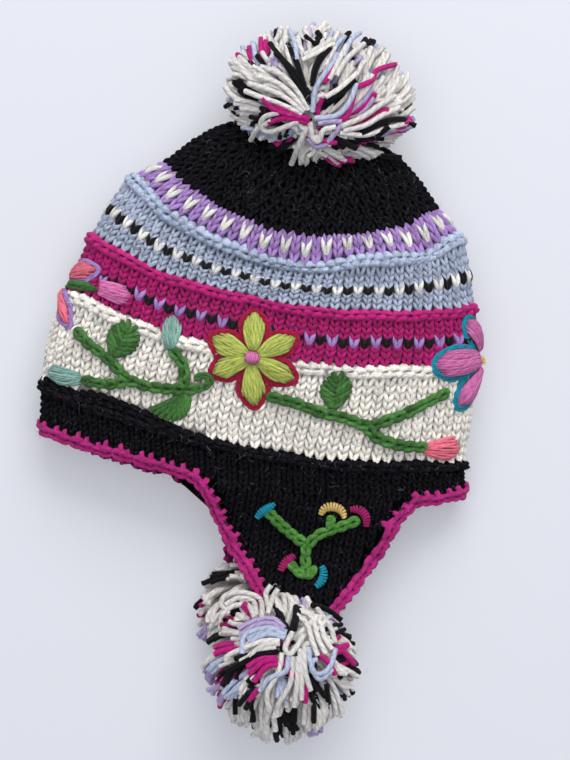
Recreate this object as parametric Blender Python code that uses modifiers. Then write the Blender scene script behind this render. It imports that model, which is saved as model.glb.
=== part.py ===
"""Knitted chullo hat lying flat: knitted rings, ear flaps, crochet edge, pompoms and raised embroidery."""
import math
from collections import namedtuple

import bmesh
import bpy
import numpy as np
from mathutils import Matrix, Vector

# Driving sizes in metres; shares below are shares of these
HAT_WIDTH = 0.250
HAT_LENGTH = 0.200
HAT_DEPTH = 0.056
KNIT = 0.004
WELT = 0.003
EDGE_RADIUS = 0.0026
POMPOM_SIZE = 0.092
STEM_RADIUS = 0.0020
GAP = 0.0003
STITCHES = 84
ROW_PER_STITCH = 0.66

COLLECTION = "chullo_hat"
CUTTERS = "cutters"

# Knit rows, counted from the hem to the gathered top
HEM_END = 7
CREAM_END = 20
MAGENTA_END = 29
BLUE_END = 38
LAVENDER_END = 41
CROWN_END = 60
WELT_ROWS = 2.2

# One row per measured level of the hat; half_width and lean are shares of HAT_WIDTH,
# left_y, right_y and centre_y of HAT_LENGTH, the heights of HAT_DEPTH
Section = namedtuple("Section", "row half_width left_y right_y centre_y lean top left_edge right_edge bottom")
SECTIONS = [
    Section(0, 0.495, -0.014, 0.012, -0.086, 0.000, 0.66, 0.39, 0.25, 0.00),
    Section(7, 0.500, 0.117, 0.100, 0.034, -0.014, 0.79, 0.36, 0.27, 0.00),
    Section(13.5, 0.502, 0.249, 0.246, 0.169, -0.018, 0.89, 0.36, 0.32, 0.00),
    Section(20, 0.484, 0.395, 0.395, 0.300, -0.007, 0.96, 0.38, 0.36, 0.00),
    Section(29, 0.449, 0.559, 0.550, 0.453, -0.002, 1.00, 0.39, 0.39, 0.00),
    Section(38, 0.374, 0.745, 0.742, 0.584, 0.000, 0.96, 0.39, 0.39, 0.00),
    Section(41, 0.321, 0.794, 0.799, 0.655, 0.000, 0.93, 0.39, 0.39, 0.00),
    Section(46, 0.266, 0.865, 0.868, 0.739, 0.000, 0.86, 0.39, 0.39, 0.00),
    Section(51, 0.206, 0.925, 0.925, 0.837, 0.000, 0.75, 0.38, 0.38, 0.00),
    Section(56, 0.119, 0.968, 0.968, 0.931, 0.000, 0.61, 0.34, 0.34, 0.05),
    Section(60, 0.016, 0.991, 0.991, 0.984, 0.000, 0.45, 0.32, 0.32, 0.18),
]

# Folds of the upper layer; rise is off the cloth and shift toward the crown, both shares of HAT_DEPTH
Fold = namedtuple("Fold", "row wale rows_long wales_wide rise shift")
FOLDS = [
    Fold(0, -9, 6.0, 7.0, 0.05, 0.07),
    Fold(35.5, -6, 1.8, 11.0, -0.07, 0.00),
    Fold(38, 9, 2.5, 3.5, 0.06, 0.06),
    Fold(38, 1, 2.5, 2.5, -0.04, -0.03),
    Fold(38, 15, 2.2, 2.2, -0.04, -0.05),
    Fold(50, -4, 3.0, 3.0, -0.05, 0.00),
]

# Ear flaps, one row per level down from the hem; along is a share of HAT_LENGTH, left and right of
# HAT_WIDTH, the heights of the outer face of HAT_DEPTH
FlapRow = namedtuple("FlapRow", "along left right height_left height_mid height_right")
LEFT_FLAP = [
    FlapRow(-0.150, -0.054, 0.328, 0.48, 0.56, 0.50),
    FlapRow(-0.200, -0.030, 0.312, 0.43, 0.50, 0.46),
    FlapRow(-0.260, -0.002, 0.290, 0.41, 0.47, 0.45),
    FlapRow(-0.315, 0.036, 0.268, 0.46, 0.50, 0.47),
    FlapRow(-0.365, 0.070, 0.248, 0.55, 0.57, 0.53),
    FlapRow(-0.425, 0.104, 0.216, 0.64, 0.65, 0.62),
    FlapRow(-0.475, 0.134, 0.174, 0.70, 0.70, 0.68),
]
RIGHT_FLAP = [
    FlapRow(-0.120, -0.132, 0.240, 0.13, 0.00, 0.00),
    FlapRow(-0.170, -0.072, 0.224, 0.13, 0.00, 0.00),
    FlapRow(-0.240, -0.032, 0.200, 0.10, 0.00, 0.00),
    FlapRow(-0.300, -0.004, 0.172, 0.02, 0.00, 0.00),
    FlapRow(-0.360, 0.020, 0.140, 0.00, 0.00, 0.00),
    FlapRow(-0.420, 0.040, 0.104, 0.00, 0.00, 0.00),
]
LEFT_FLAP_WALES = (-3.6, 13.9)
RIGHT_FLAP_WALES = (49.5, 32.0)

# Corners of the rings as shares of half a round; closer together at the side folds
CORNER_SHARES = [0.071, 0.143, 0.214, 0.286, 0.357, 0.417, 0.464, 0.500, 0.536, 0.583, 0.667, 0.762, 0.881]
CORNERS = [0] + [share * STITCHES / 2 for share in CORNER_SHARES] + [STITCHES / 2]
CORNERS += [STITCHES * (1 - share / 2) for share in reversed(CORNER_SHARES)]

# Pompoms: middle and radii as shares of POMPOM_SIZE, the middle counted from where each is tied
Pompom = namedtuple("Pompom", "name across along height radius_x radius_y radius_z locks turn")
TOP_POMPOM = Pompom("pompom_top", 0.043, 0.110, 0.36, 0.650, 0.455, 0.410, 70, 0.3)
RIGHT_POMPOM = Pompom("pompom_right", -0.075, -0.076, 0.14, 0.424, 0.390, 0.240, 56, 0.6)
LEFT_POMPOM = Pompom("pompom_left", -0.016, -0.217, 0.40, 0.510, 0.478, 0.435, 70, 2.0)

BLACK = (0.010, 0.008, 0.010, 1)
CREAM = (0.640, 0.610, 0.540, 1)
MAGENTA = (0.400, 0.022, 0.160, 1)
BLUE = (0.260, 0.320, 0.460, 1)
LAVENDER = (0.290, 0.150, 0.460, 1)
WHITE = (0.720, 0.690, 0.650, 1)
LIME = (0.480, 0.540, 0.150, 1)
RED = (0.430, 0.014, 0.060, 1)
GREEN = (0.035, 0.150, 0.030, 1)
CORAL = (0.720, 0.130, 0.160, 1)
PINK = (0.580, 0.150, 0.330, 1)
MINT = (0.270, 0.520, 0.450, 1)
ORCHID = (0.580, 0.160, 0.400, 1)
TEAL = (0.010, 0.230, 0.310, 1)
GOLD = (0.780, 0.500, 0.150, 1)


def clear_scene():
    """Start from an empty scene with one collection for the hat and one for its cutters."""
    for item in list(bpy.data.objects):
        bpy.data.objects.remove(item, do_unlink=True)
    for name in (COLLECTION, CUTTERS):
        group = bpy.data.collections.get(name) or bpy.data.collections.new(name)
        if group.name not in bpy.context.scene.collection.children:
            bpy.context.scene.collection.children.link(group)


def paint(item, name, colour):
    """Give a solid its own plain wool material."""
    material = bpy.data.materials.new(name)
    material.use_nodes = True
    shader = material.node_tree.nodes["Principled BSDF"]
    shader.inputs["Base Color"].default_value = colour
    shader.inputs["Roughness"].default_value = 0.95
    item.data.materials.clear()
    item.data.materials.append(material)


def add_mesh(name, points, faces, group=COLLECTION):
    """Closed mesh with its faces turned outwards."""
    mesh = bpy.data.meshes.new(name)
    mesh.from_pydata([tuple(p) for p in points], [], faces)
    form = bmesh.new()
    form.from_mesh(mesh)
    bmesh.ops.remove_doubles(form, verts=form.verts, dist=0.00001)
    bmesh.ops.recalc_face_normals(form, faces=form.faces)
    if form.calc_volume(signed=True) < 0:
        bmesh.ops.reverse_faces(form, faces=form.faces)
    bmesh.ops.triangulate(form, faces=form.faces, quad_method="FIXED")
    form.to_mesh(mesh)
    form.free()
    item = bpy.data.objects.new(name, mesh)
    bpy.data.collections[group].objects.link(item)
    return item


def apply_modifiers(item):
    """Bake the modifier stack into the mesh."""
    graph = bpy.context.evaluated_depsgraph_get()
    mesh = bpy.data.meshes.new_from_object(item.evaluated_get(graph))
    item.modifiers.clear()
    item.data = mesh


def grown(item, by=GAP, name=None):
    """Wire copy of a solid pushed out by the fitting gap, used as a cutter."""
    copy = item.copy()
    copy.data = item.data.copy()
    copy.name = name or item.name + "_room"
    form = bmesh.new()
    form.from_mesh(copy.data)
    form.normal_update()
    moved = [(v, v.co + v.normal * min(v.calc_shell_factor(), 1.6) * by) for v in form.verts]
    for vertex, place in moved:
        vertex.co = place
    form.to_mesh(copy.data)
    form.free()
    for group in list(copy.users_collection):
        group.objects.unlink(copy)
    bpy.data.collections[CUTTERS].objects.link(copy)
    copy.hide_render = True
    copy.display_type = "WIRE"
    return copy


def combine(item, other, operation, crossing=False):
    """Exact Boolean of one solid with another."""
    step = item.modifiers.new(operation.lower(), "BOOLEAN")
    step.operation = operation
    step.solver = "EXACT"
    step.use_self = crossing
    step.object = other
    apply_modifiers(item)


def largest_body(item):
    """Keep the biggest closed body and drop crumbs left by a cut."""
    form = bmesh.new()
    form.from_mesh(item.data)
    bmesh.ops.remove_doubles(form, verts=form.verts, dist=0.000001)
    seen = set()
    bodies = []
    for face in form.faces:
        if face in seen:
            continue
        body = [face]
        seen.add(face)
        for member in body:
            for edge in member.edges:
                for near in edge.link_faces:
                    if near not in seen:
                        seen.add(near)
                        body.append(near)
        bodies.append(body)
    bodies.sort(key=lambda body: sum(f.calc_area() for f in body), reverse=True)
    spare = [f for body in bodies[1:] for f in body]
    bmesh.ops.delete(form, geom=spare, context="FACES")
    bmesh.ops.triangulate(form, faces=form.faces)
    form.to_mesh(item.data)
    form.free()


# Form of the hat: the flattened loop of each knit row, walked by stitches from the middle of the upper layer

ROW_TABLE = np.array([s.row for s in SECTIONS], float)
SHARE_TABLE = np.array([s[1:] for s in SECTIONS], float)
SLOPE_TABLE = np.gradient(SHARE_TABLE, ROW_TABLE, axis=0)
TURN = np.linspace(0, 2 * math.pi, 721)
ROW_LOOPS = {}


def section_at(row):
    """Smooth blend of the section table; below the hem it runs straight on."""
    if row < 0:
        return SHARE_TABLE[0] + SLOPE_TABLE[0] * row
    i = min(int(np.searchsorted(ROW_TABLE, row, side="right")) - 1, len(ROW_TABLE) - 2)
    span = ROW_TABLE[i + 1] - ROW_TABLE[i]
    t = (row - ROW_TABLE[i]) / span
    start = (1 + 2 * t) * (1 - t) ** 2 * SHARE_TABLE[i] + t * (1 - t) ** 2 * span * SLOPE_TABLE[i]
    end = t * t * (3 - 2 * t) * SHARE_TABLE[i + 1] + t * t * (t - 1) * span * SLOPE_TABLE[i + 1]
    return start + end


def row_loop(row):
    """Points round one knit row and the length walked to each."""
    if row in ROW_LOOPS:
        return ROW_LOOPS[row]
    half, left, right, centre, lean, top, left_edge, right_edge, bottom = section_at(row)
    upward = np.cos(TURN)
    sideways = np.sin(TURN)
    across = np.sign(sideways) * np.abs(sideways) ** 0.72
    edge = left_edge * (1 - across) / 2 + right_edge * (1 + across) / 2
    upper = edge + (top - edge) * np.abs(upward) ** 0.78
    lower = edge + (bottom - edge) * np.minimum(1, 1.12 * np.abs(upward) ** 0.6)
    side = left * (1 - across) / 2 + right * (1 + across) / 2
    x = (lean + half * across) * HAT_WIDTH
    y = (side - (side - centre) * (1 - np.abs(across) ** 2.3)) * HAT_LENGTH
    z = np.where(upward > 0, upper, lower) * HAT_DEPTH
    points = np.stack([x, y, z], 1)
    steps = np.linalg.norm(np.diff(points, axis=0), axis=1)
    ROW_LOOPS[row] = (points, np.concatenate([[0], np.cumsum(steps)]))
    return ROW_LOOPS[row]


def cloth(wale, row):
    """Point of the smooth cloth at a stitch and row, with the folds of the upper layer."""
    points, walked = row_loop(round(row, 4))
    length = (wale / STITCHES) % 1.0 * walked[-1]
    place = np.array([np.interp(length, walked, points[:, k]) for k in range(3)])
    turned = (wale + STITCHES / 2) % STITCHES - STITCHES / 2
    if abs(turned) < 21:
        fade = min(1, (21 - abs(turned)) / 3)
        for fold in FOLDS:
            near = math.exp(-((turned - fold.wale) / fold.wales_wide) ** 2 - ((row - fold.row) / fold.rows_long) ** 2)
            place[1] += fold.shift * HAT_DEPTH * near * fade
            place[2] += fold.rise * HAT_DEPTH * near * fade
    return place


def outward(wale, row):
    """Unit normal of the cloth, out of the hat."""
    along = cloth(wale, row + 0.3) - cloth(wale, row - 0.3 if row >= 0.3 else row)
    around = cloth(wale + 0.4, row) - cloth(wale - 0.4, row)
    normal = np.cross(around, along)
    return normal / np.linalg.norm(normal)


def welt(row):
    """How far the purl ridge at the top of a band stands out at this row."""
    for end in (HEM_END, CREAM_END, MAGENTA_END, BLUE_END):
        share = (end - row) / WELT_ROWS
        if 0 < share < 1:
            return WELT * math.sin(math.pi * share) ** 0.6
    return 0.0


def hat_point(wale, row, lift=0.0):
    """Point a little off the outer face of the hat; what lies on the table is pressed flat."""
    place = cloth(wale, row) + outward(wale, row) * lift
    place[2] = max(place[2], 0.0)
    return place


def split(a, b, c, d, other):
    """Two triangles of a face; rims that meet share the same diagonal."""
    if other:
        return [(a, b, d), (b, c, d)]
    return [(a, b, c), (a, c, d)]


def ring(name, start, end, outer_rows, colour):
    """One knitted band: outer face with its ridge, inner face, and a rim at each end."""
    first = start if start == 0 else start + 0.04
    last = end - 0.04
    profile = [(first, 0.0)]
    profile += [(row, welt(row)) for row in outer_rows]
    profile += [(last, 0.0), (last, -KNIT), ((first + last) / 2, -KNIT), (first, -KNIT)]
    count = len(CORNERS)
    points = [hat_point(wale, row, lift) for row, lift in profile for wale in CORNERS]
    faces = []
    for k in range(len(profile)):
        for j in range(count):
            low = k * count
            high = (k + 1) % len(profile) * count
            turn = (j + 1) % count
            faces += split(low + j, low + turn, high + turn, high + j, k == len(profile) - 1)
    item = add_mesh(name, points, faces)
    paint(item, name + "_wool", colour)
    return item


def closed_top(name, start, outer_rows, inner_rows, colour):
    """The crown: an outer and an inner dome joined by a rim at the open end."""
    first = start + 0.04
    profile = [(row, -KNIT) for row in reversed(inner_rows)] + [(first, -KNIT), (first, 0.0)]
    profile += [(row, 0.0) for row in outer_rows]
    count = len(CORNERS)
    points = [hat_point(wale, row, lift) for row, lift in profile for wale in CORNERS]
    faces = []
    for k in range(len(profile) - 1):
        for j in range(count):
            turn = (j + 1) % count
            low = k * count
            faces += split(low + j, low + turn, low + count + turn, low + count + j, k == len(inner_rows))
    for level, reach in ((0, 0.5), (len(profile) - 1, 0.2)):
        loop = points[level * count:(level + 1) * count]
        middle = sum(loop) / count
        middle = middle + (cloth(0, CROWN_END) - middle) * (reach if level == 0 else 0.0)
        middle[1] += 0.001 if level else 0.0
        points.append(middle)
        tip = len(points) - 1
        for j in range(count):
            faces.append((level * count + j, level * count + (j + 1) % count, tip))
    item = add_mesh(name, points, faces)
    paint(item, name + "_wool", colour)
    return item


# Ear flaps

def flap_face(rows, wales, across, along):
    """Point of a flap's outer face; along 0 is the hem and along 1 the tip."""
    table = np.array(rows, float)
    start_left = cloth(wales[0], 0)
    start_right = cloth(wales[1], 0)
    start_mid = cloth((wales[0] + wales[1]) / 2, 0)
    size = np.array([HAT_LENGTH, HAT_WIDTH, HAT_WIDTH, HAT_DEPTH, HAT_DEPTH, HAT_DEPTH])
    first = np.array([(start_left[1] + start_right[1]) / 2, start_left[0], start_right[0],
                      start_left[2], start_mid[2], start_right[2]])
    levels = np.vstack([first, table * size])
    place = along * (len(levels) - 1)
    y, left, right, z_left, z_mid, z_right = [np.interp(place, range(len(levels)), levels[:, k]) for k in range(6)]
    bow = 4 * across * (1 - across)
    z = z_left * (1 - across) + z_right * across + (z_mid - (z_left + z_right) / 2) * bow
    chord = np.array([left + (right - left) * across, y, z])
    flat = np.array([start_left[0] + (start_right[0] - start_left[0]) * across, first[0],
                     first[3] * (1 - across) + first[5] * across + (first[4] - (first[3] + first[5]) / 2) * bow])
    hem = cloth(wales[0] + (wales[1] - wales[0]) * across, 0)
    return chord + (hem - flat) * max(0, 1 - 2.2 * along) ** 2


def flap_point(rows, wales, across, along, lift=0.0):
    """Point off a flap's outer face."""
    reach = flap_face(rows, wales, across, min(along + 0.02, 1)) - flap_face(rows, wales, across, max(along - 0.02, 0))
    width = flap_face(rows, wales, across + 0.02, along) - flap_face(rows, wales, across - 0.02, along)
    normal = np.cross(reach, width)
    normal /= np.linalg.norm(normal)
    if rows is RIGHT_FLAP:
        normal = -normal
    place = flap_face(rows, wales, across, along) + normal * lift
    place[2] = max(place[2], 0.0)
    return place


def ear_flap(name, rows, wales):
    """A flap: its top edge meets the hem ring across the fitting gap."""
    columns = 8
    levels = [0.0] + [k / len(rows) for k in range(1, len(rows) + 1)]
    faces = []
    points = []
    for lift in (0.0, -KNIT):
        for level in levels:
            for j in range(columns + 1):
                across = j / columns
                wale = wales[0] + (wales[1] - wales[0]) * across
                if level == 0:
                    points.append(hat_point(wale, -0.085, lift))
                else:
                    points.append(flap_point(rows, wales, across, level, lift))
    wide = columns + 1
    layer = wide * len(levels)
    for i in range(len(levels) - 1):
        for j in range(columns):
            a = i * wide + j
            faces.append((a, a + 1, a + wide + 1, a + wide))
            faces.append((layer + a, layer + a + wide, layer + a + wide + 1, layer + a + 1))
    border = [j for j in range(wide)]
    border += [i * wide + columns for i in range(1, len(levels))]
    border += [(len(levels) - 1) * wide + j for j in range(columns - 1, -1, -1)]
    border += [i * wide for i in range(len(levels) - 2, 0, -1)]
    for k, a in enumerate(border):
        b = border[(k + 1) % len(border)]
        faces.append((a, b, layer + b, layer + a))
    item = add_mesh(name, points, faces)
    paint(item, name + "_wool", BLACK)
    return item


# Crochet edge round the hem and both flaps

def tube(name, path, radius, closed=False, sides=1, group=COLLECTION):
    """Round cord along a path, closed to itself or with filled ends."""
    curve = bpy.data.curves.new(name, "CURVE")
    curve.dimensions = "3D"
    line = curve.splines.new("POLY")
    line.points.add(len(path) - 1)
    for point, place in zip(line.points, path):
        point.co = (place[0], place[1], place[2], 1)
    line.use_cyclic_u = closed
    curve.bevel_depth = radius
    curve.bevel_resolution = sides
    curve.use_fill_caps = not closed
    shape = bpy.data.objects.new(name, curve)
    bpy.data.collections[group].objects.link(shape)
    graph = bpy.context.evaluated_depsgraph_get()
    mesh = bpy.data.meshes.new_from_object(shape.evaluated_get(graph))
    bpy.data.objects.remove(shape, do_unlink=True)
    item = bpy.data.objects.new(name, mesh)
    bpy.data.collections[group].objects.link(item)
    form = bmesh.new()
    form.from_mesh(mesh)
    bmesh.ops.remove_doubles(form, verts=form.verts, dist=0.00001)
    bmesh.ops.recalc_face_normals(form, faces=form.faces)
    form.to_mesh(mesh)
    form.free()
    return item


def edge_path():
    """Line that the crochet edge follows: hem, left flap, hem, right flap."""
    off = EDGE_RADIUS + GAP
    path = []

    def hem(start, end, count):
        for k in range(count):
            wale = start + (end - start) * k / (count - 1)
            path.append(hat_point(wale, -off / 0.0042, -KNIT / 2))

    def flap(rows, wales, across, levels):
        for along in levels:
            inner = flap_point(rows, wales, 0.5, along, -KNIT / 2)
            rim = flap_point(rows, wales, across, along, -KNIT / 2)
            away = (rim - inner) / np.linalg.norm(rim - inner)
            place = rim + away * off
            if rows is RIGHT_FLAP and across == 0:
                tuck = min(1, max(0, (0.62 - along) / 0.12)) * min(1, max(0, (along - 0.02) / 0.1))
                place = place - away * 0.0065 * tuck
                place[2] -= 0.0050 * tuck
            path.append(place)

    down = [0.10, 0.2, 0.3, 0.4, 0.5, 0.6, 0.7, 0.8, 0.9, 1.0]
    up = list(reversed(down))
    hem(RIGHT_FLAP_WALES[0] - STITCHES + 0.6, LEFT_FLAP_WALES[0] - 1.3, 17)
    flap(LEFT_FLAP, LEFT_FLAP_WALES, 0, down)
    path.append(flap_point(LEFT_FLAP, LEFT_FLAP_WALES, 0.5, 1.0, -KNIT / 2) + np.array([0, -off * 1.3, 0]))
    flap(LEFT_FLAP, LEFT_FLAP_WALES, 1, up)
    hem(LEFT_FLAP_WALES[1] + 1.3, RIGHT_FLAP_WALES[1] - 1.4, 12)
    flap(RIGHT_FLAP, RIGHT_FLAP_WALES, 1, down)
    path.append(flap_point(RIGHT_FLAP, RIGHT_FLAP_WALES, 0.5, 1.0, -KNIT / 2) + np.array([0, -off * 1.3, 0]))
    flap(RIGHT_FLAP, RIGHT_FLAP_WALES, 0, up)
    for place in path:
        place[2] = max(place[2], EDGE_RADIUS * 1.02)
    return path


# Pompoms

def flap_tip(rows):
    """Where the pompom of a flap is tied."""
    last = rows[-1]
    return (last.left + last.right) / 2 * HAT_WIDTH, last.along * HAT_LENGTH


def pompom(row, tie_x, tie_y):
    """A round head with tapered locks fused to it, flat where it rests."""
    name = row.name
    locks = row.locks
    seed = row.turn
    centre = Vector((tie_x + row.across * POMPOM_SIZE, tie_y + row.along * POMPOM_SIZE, row.height * POMPOM_SIZE))
    radii = [share * POMPOM_SIZE for share in (row.radius_x, row.radius_y, row.radius_z)]
    form = bmesh.new()
    bmesh.ops.create_icosphere(form, subdivisions=3, radius=0.80)
    golden = math.pi * (3 - math.sqrt(5))
    for k in range(locks):
        height = 1 - 2 * (k + 0.5) / locks
        flat = math.sqrt(1 - height * height)
        turn = golden * k + seed
        axis = Vector((flat * math.cos(turn), flat * math.sin(turn), height))
        wobble = Vector((math.sin(7.1 * k + seed), math.sin(4.3 * k + 2 * seed), math.sin(5.7 * k + 1))) * 0.22
        reach = 0.86 + 0.07 * math.sin(3.7 * k + seed)
        lean = (axis + wobble).normalized()
        turned = axis.lerp(lean, 0.5).to_track_quat("Z", "Y").to_matrix().to_4x4()
        place = Matrix.Translation(axis * 0.55) @ turned
        made = bmesh.ops.create_cone(form, cap_ends=True, segments=7, radius1=0.21, radius2=0.11,
                                     depth=reach - 0.40, matrix=place @ Matrix.Translation((0, 0, (reach - 0.4) / 2)))
        for vertex in made["verts"]:
            if vertex.co.length > 0.8:
                vertex.co += wobble * 0.25
    for vertex in form.verts:
        vertex.co = Vector([vertex.co[i] * radii[i] for i in range(3)]) + centre
    mesh = bpy.data.meshes.new(name)
    form.to_mesh(mesh)
    form.free()
    item = bpy.data.objects.new(name, mesh)
    bpy.data.collections[COLLECTION].objects.link(item)
    fuse = item.modifiers.new("fuse", "REMESH")
    fuse.mode = "VOXEL"
    fuse.voxel_size = POMPOM_SIZE * 0.030
    thin = item.modifiers.new("thin", "DECIMATE")
    thin.ratio = 0.055
    apply_modifiers(item)
    floor = box(name + "_floor", (centre.x, centre.y, -POMPOM_SIZE), (POMPOM_SIZE * 4, POMPOM_SIZE * 4, POMPOM_SIZE * 2))
    combine(item, floor, "DIFFERENCE")
    largest_body(item)
    paint(item, name + "_yarn", WHITE)
    return item


def box(name, centre, size):
    """Plain cutter block."""
    form = bmesh.new()
    bmesh.ops.create_cube(form, size=1.0)
    bmesh.ops.scale(form, vec=size, verts=form.verts)
    bmesh.ops.translate(form, vec=centre, verts=form.verts)
    mesh = bpy.data.meshes.new(name)
    form.to_mesh(mesh)
    form.free()
    item = bpy.data.objects.new(name, mesh)
    item.hide_render = True
    item.display_type = "WIRE"
    bpy.data.collections[CUTTERS].objects.link(item)
    return item


# Embroidery

def pad(name, outline, point_at, rise, colour, room, skirt=0.55):
    """Domed satin pad: its outline is a chart of stitch and row, its underside is cut to the cloth."""
    count = len(outline)
    middle = (sum(p[0] for p in outline) / count, sum(p[1] for p in outline) / count)
    points = [point_at(a, b, -0.001) for a, b in outline]
    points += [point_at(a, b, rise * skirt) for a, b in outline]
    points += [point_at(middle[0] + (a - middle[0]) * 0.62, middle[1] + (b - middle[1]) * 0.62, rise) for a, b in outline]
    points.append(point_at(middle[0], middle[1], -0.001))
    points.append(point_at(middle[0], middle[1], rise * 1.04))
    faces = []
    for j in range(count):
        turn = (j + 1) % count
        faces.append((turn, j, 3 * count))
        faces.append((j, turn, count + turn, count + j))
        faces.append((count + j, count + turn, 2 * count + turn, 2 * count + j))
        faces.append((2 * count + j, 2 * count + turn, 3 * count + 1))
    item = add_mesh(name, points, faces)
    for cutter in room:
        combine(item, cutter, "DIFFERENCE", crossing=True)
    largest_body(item)
    paint(item, name + "_thread", colour)
    return item


def stem(name, strokes, point_at, colour, room, radius=STEM_RADIUS):
    """Chain stitched stem: rounded strokes fused together and cut to the cloth."""
    item = None
    for number, stroke in enumerate(strokes):
        path = [point_at(a, b, radius * (0.45 - 0.07 * number)) for a, b in stroke]
        piece = tube(name + "_%d" % number, path, radius * (1 - 0.03 * number), sides=1)
        if item is None:
            item = piece
            item.name = name
        else:
            combine(item, piece, "UNION")
            bpy.data.objects.remove(piece, do_unlink=True)
    for cutter in room:
        combine(item, cutter, "DIFFERENCE")
    largest_body(item)
    paint(item, name + "_thread", colour)
    return item


def star(centre, petals, waist):
    """Outline of a flower: each petal gives its tip and two shoulders, with a waist between petals."""
    outline = []
    for number, (tip_a, tip_b, wide) in enumerate(petals):
        side_a = -(tip_b - centre[1]) * wide * ROW_PER_STITCH
        side_b = (tip_a - centre[0]) * wide / ROW_PER_STITCH
        for share, spread in ((0.70, -1), (1.0, 0), (0.70, 1)):
            outline.append((centre[0] + (tip_a - centre[0]) * share + side_a * spread,
                            centre[1] + (tip_b - centre[1]) * share + side_b * spread))
        follow = petals[(number + 1) % len(petals)]
        outline.append((centre[0] + ((tip_a + follow[0]) / 2 - centre[0]) * waist,
                        centre[1] + ((tip_b + follow[1]) / 2 - centre[1]) * waist))
    return outline


def spread(outline, by):
    """Outline pushed out from its middle by a number of stitches."""
    count = len(outline)
    middle = (sum(p[0] for p in outline) / count, sum(p[1] for p in outline) / count)
    wider = []
    for a, b in outline:
        length = math.hypot(a - middle[0], b - middle[1])
        wider.append((a + (a - middle[0]) / length * by, b + (b - middle[1]) / length * by / ROW_PER_STITCH))
    return wider


# Charts of the embroidery as (stitch, row); stitch 0 is the middle of the upper layer
LIME_CENTRE = (-1.2, 19.2)
LIME_PETALS = [(-1.8, 26.0, 0.22), (-4.9, 20.6, 0.23), (-4.0, 16.0, 0.23), (0.0, 12.9, 0.22),
               (2.7, 17.0, 0.24), (1.9, 22.8, 0.24)]
ORCHID_CENTRE = (20.4, 19.6)

VINE_LEFT = [
    [(-15.7, 9.5), (-13.8, 10.3), (-12.6, 10.8), (-10.8, 12.2), (-8.8, 12.1), (-6.6, 13.0), (-5.3, 13.6),
     (-5.4, 14.9), (-4.8, 15.5), (-4.2, 14.7)],
    [(-16.9, 15.2), (-14.9, 14.7), (-13.0, 13.9), (-10.8, 12.1)],
    [(-8.4, 17.4), (-7.2, 16.3), (-6.5, 14.6), (-6.3, 12.9)],
]
VINE_RIGHT = [
    [(1.6, 14.2), (3.4, 13.9), (5.7, 13.1), (7.8, 12.8), (9.8, 11.9), (11.2, 12.3), (13.2, 13.6), (14.6, 14.9)],
    [(9.8, 11.9), (11.2, 10.3), (13.5, 9.3), (15.3, 9.2)],
]
PADS = [
    ("leaf_left", GREEN, 0.0024, [(-13.2, 14.6), (-13.9, 15.6), (-14.2, 17.2), (-13.3, 18.6), (-12.2, 19.1),
                                  (-11.7, 17.8), (-12.0, 16.0)]),
    ("leaf_low", GREEN, 0.0024, [(-6.3, 12.2), (-5.7, 11.0), (-5.9, 9.4), (-7.3, 9.0), (-8.9, 9.0), (-8.4, 10.4),
                                 (-7.2, 11.6)]),
    ("leaf_right", GREEN, 0.0024, [(7.1, 13.6), (6.0, 14.7), (5.5, 16.5), (6.0, 18.3), (6.9, 19.0), (7.8, 17.4),
                                   (8.3, 15.2)]),
    ("mint_bud_side", MINT, 0.0030, [(-19.3, 8.6), (-18.4, 9.9), (-17.0, 9.9), (-16.0, 9.4), (-16.9, 8.4),
                                     (-18.4, 7.9)]),
    ("mint_bud_top", MINT, 0.0055, [(-8.5, 17.6), (-9.8, 19.0), (-9.9, 20.8), (-9.3, 21.9), (-8.4, 20.9),
                                    (-7.9, 19.2)]),
    ("coral_petal_upper", CORAL, 0.0052, [(-17.7, 22.2), (-18.4, 24.2), (-20.2, 24.9), (-22.2, 24.0),
                                          (-22.4, 22.2), (-20.8, 21.0), (-19.0, 21.0)]),
    ("coral_petal_lower", CORAL, 0.0052, [(-21.0, 19.6), (-22.6, 19.4), (-22.4, 17.6), (-20.3, 16.2),
                                          (-17.9, 15.6), (-18.3, 17.4), (-19.6, 19.0)]),
    ("coral_leaf", GREEN, 0.0048, [(-20.2, 19.9), (-19.2, 20.6), (-17.9, 20.9), (-17.1, 20.1), (-18.1, 19.3),
                                   (-19.4, 19.1)]),
    ("pink_bud", PINK, 0.0050, [(-16.4, 20.8), (-16.7, 22.2), (-15.6, 23.3), (-14.0, 23.0), (-13.2, 22.0),
                                (-14.2, 20.9)]),
    ("orchid_petal_upper", ORCHID, 0.0052, [(19.9, 20.9), (18.4, 22.6), (17.7, 24.9), (18.2, 26.4), (20.0, 26.2),
                                            (21.4, 24.4), (21.6, 22.0)]),
    ("orchid_petal_middle", ORCHID, 0.0052, [(19.6, 19.3), (18.0, 18.2), (16.2, 18.2), (15.2, 19.8), (15.9, 21.3),
                                             (17.6, 21.4), (19.2, 20.7)]),
    ("orchid_petal_lower", ORCHID, 0.0052, [(20.0, 18.6), (18.9, 17.2), (18.0, 15.2), (18.5, 13.9), (20.2, 14.2),
                                            (21.6, 16.0), (21.4, 18.0)]),
    ("coral_bud", CORAL, 0.0030, [(15.9, 9.4), (16.8, 10.4), (18.4, 10.2), (19.2, 9.0), (18.6, 7.8), (17.2, 7.6)]),
]

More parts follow.
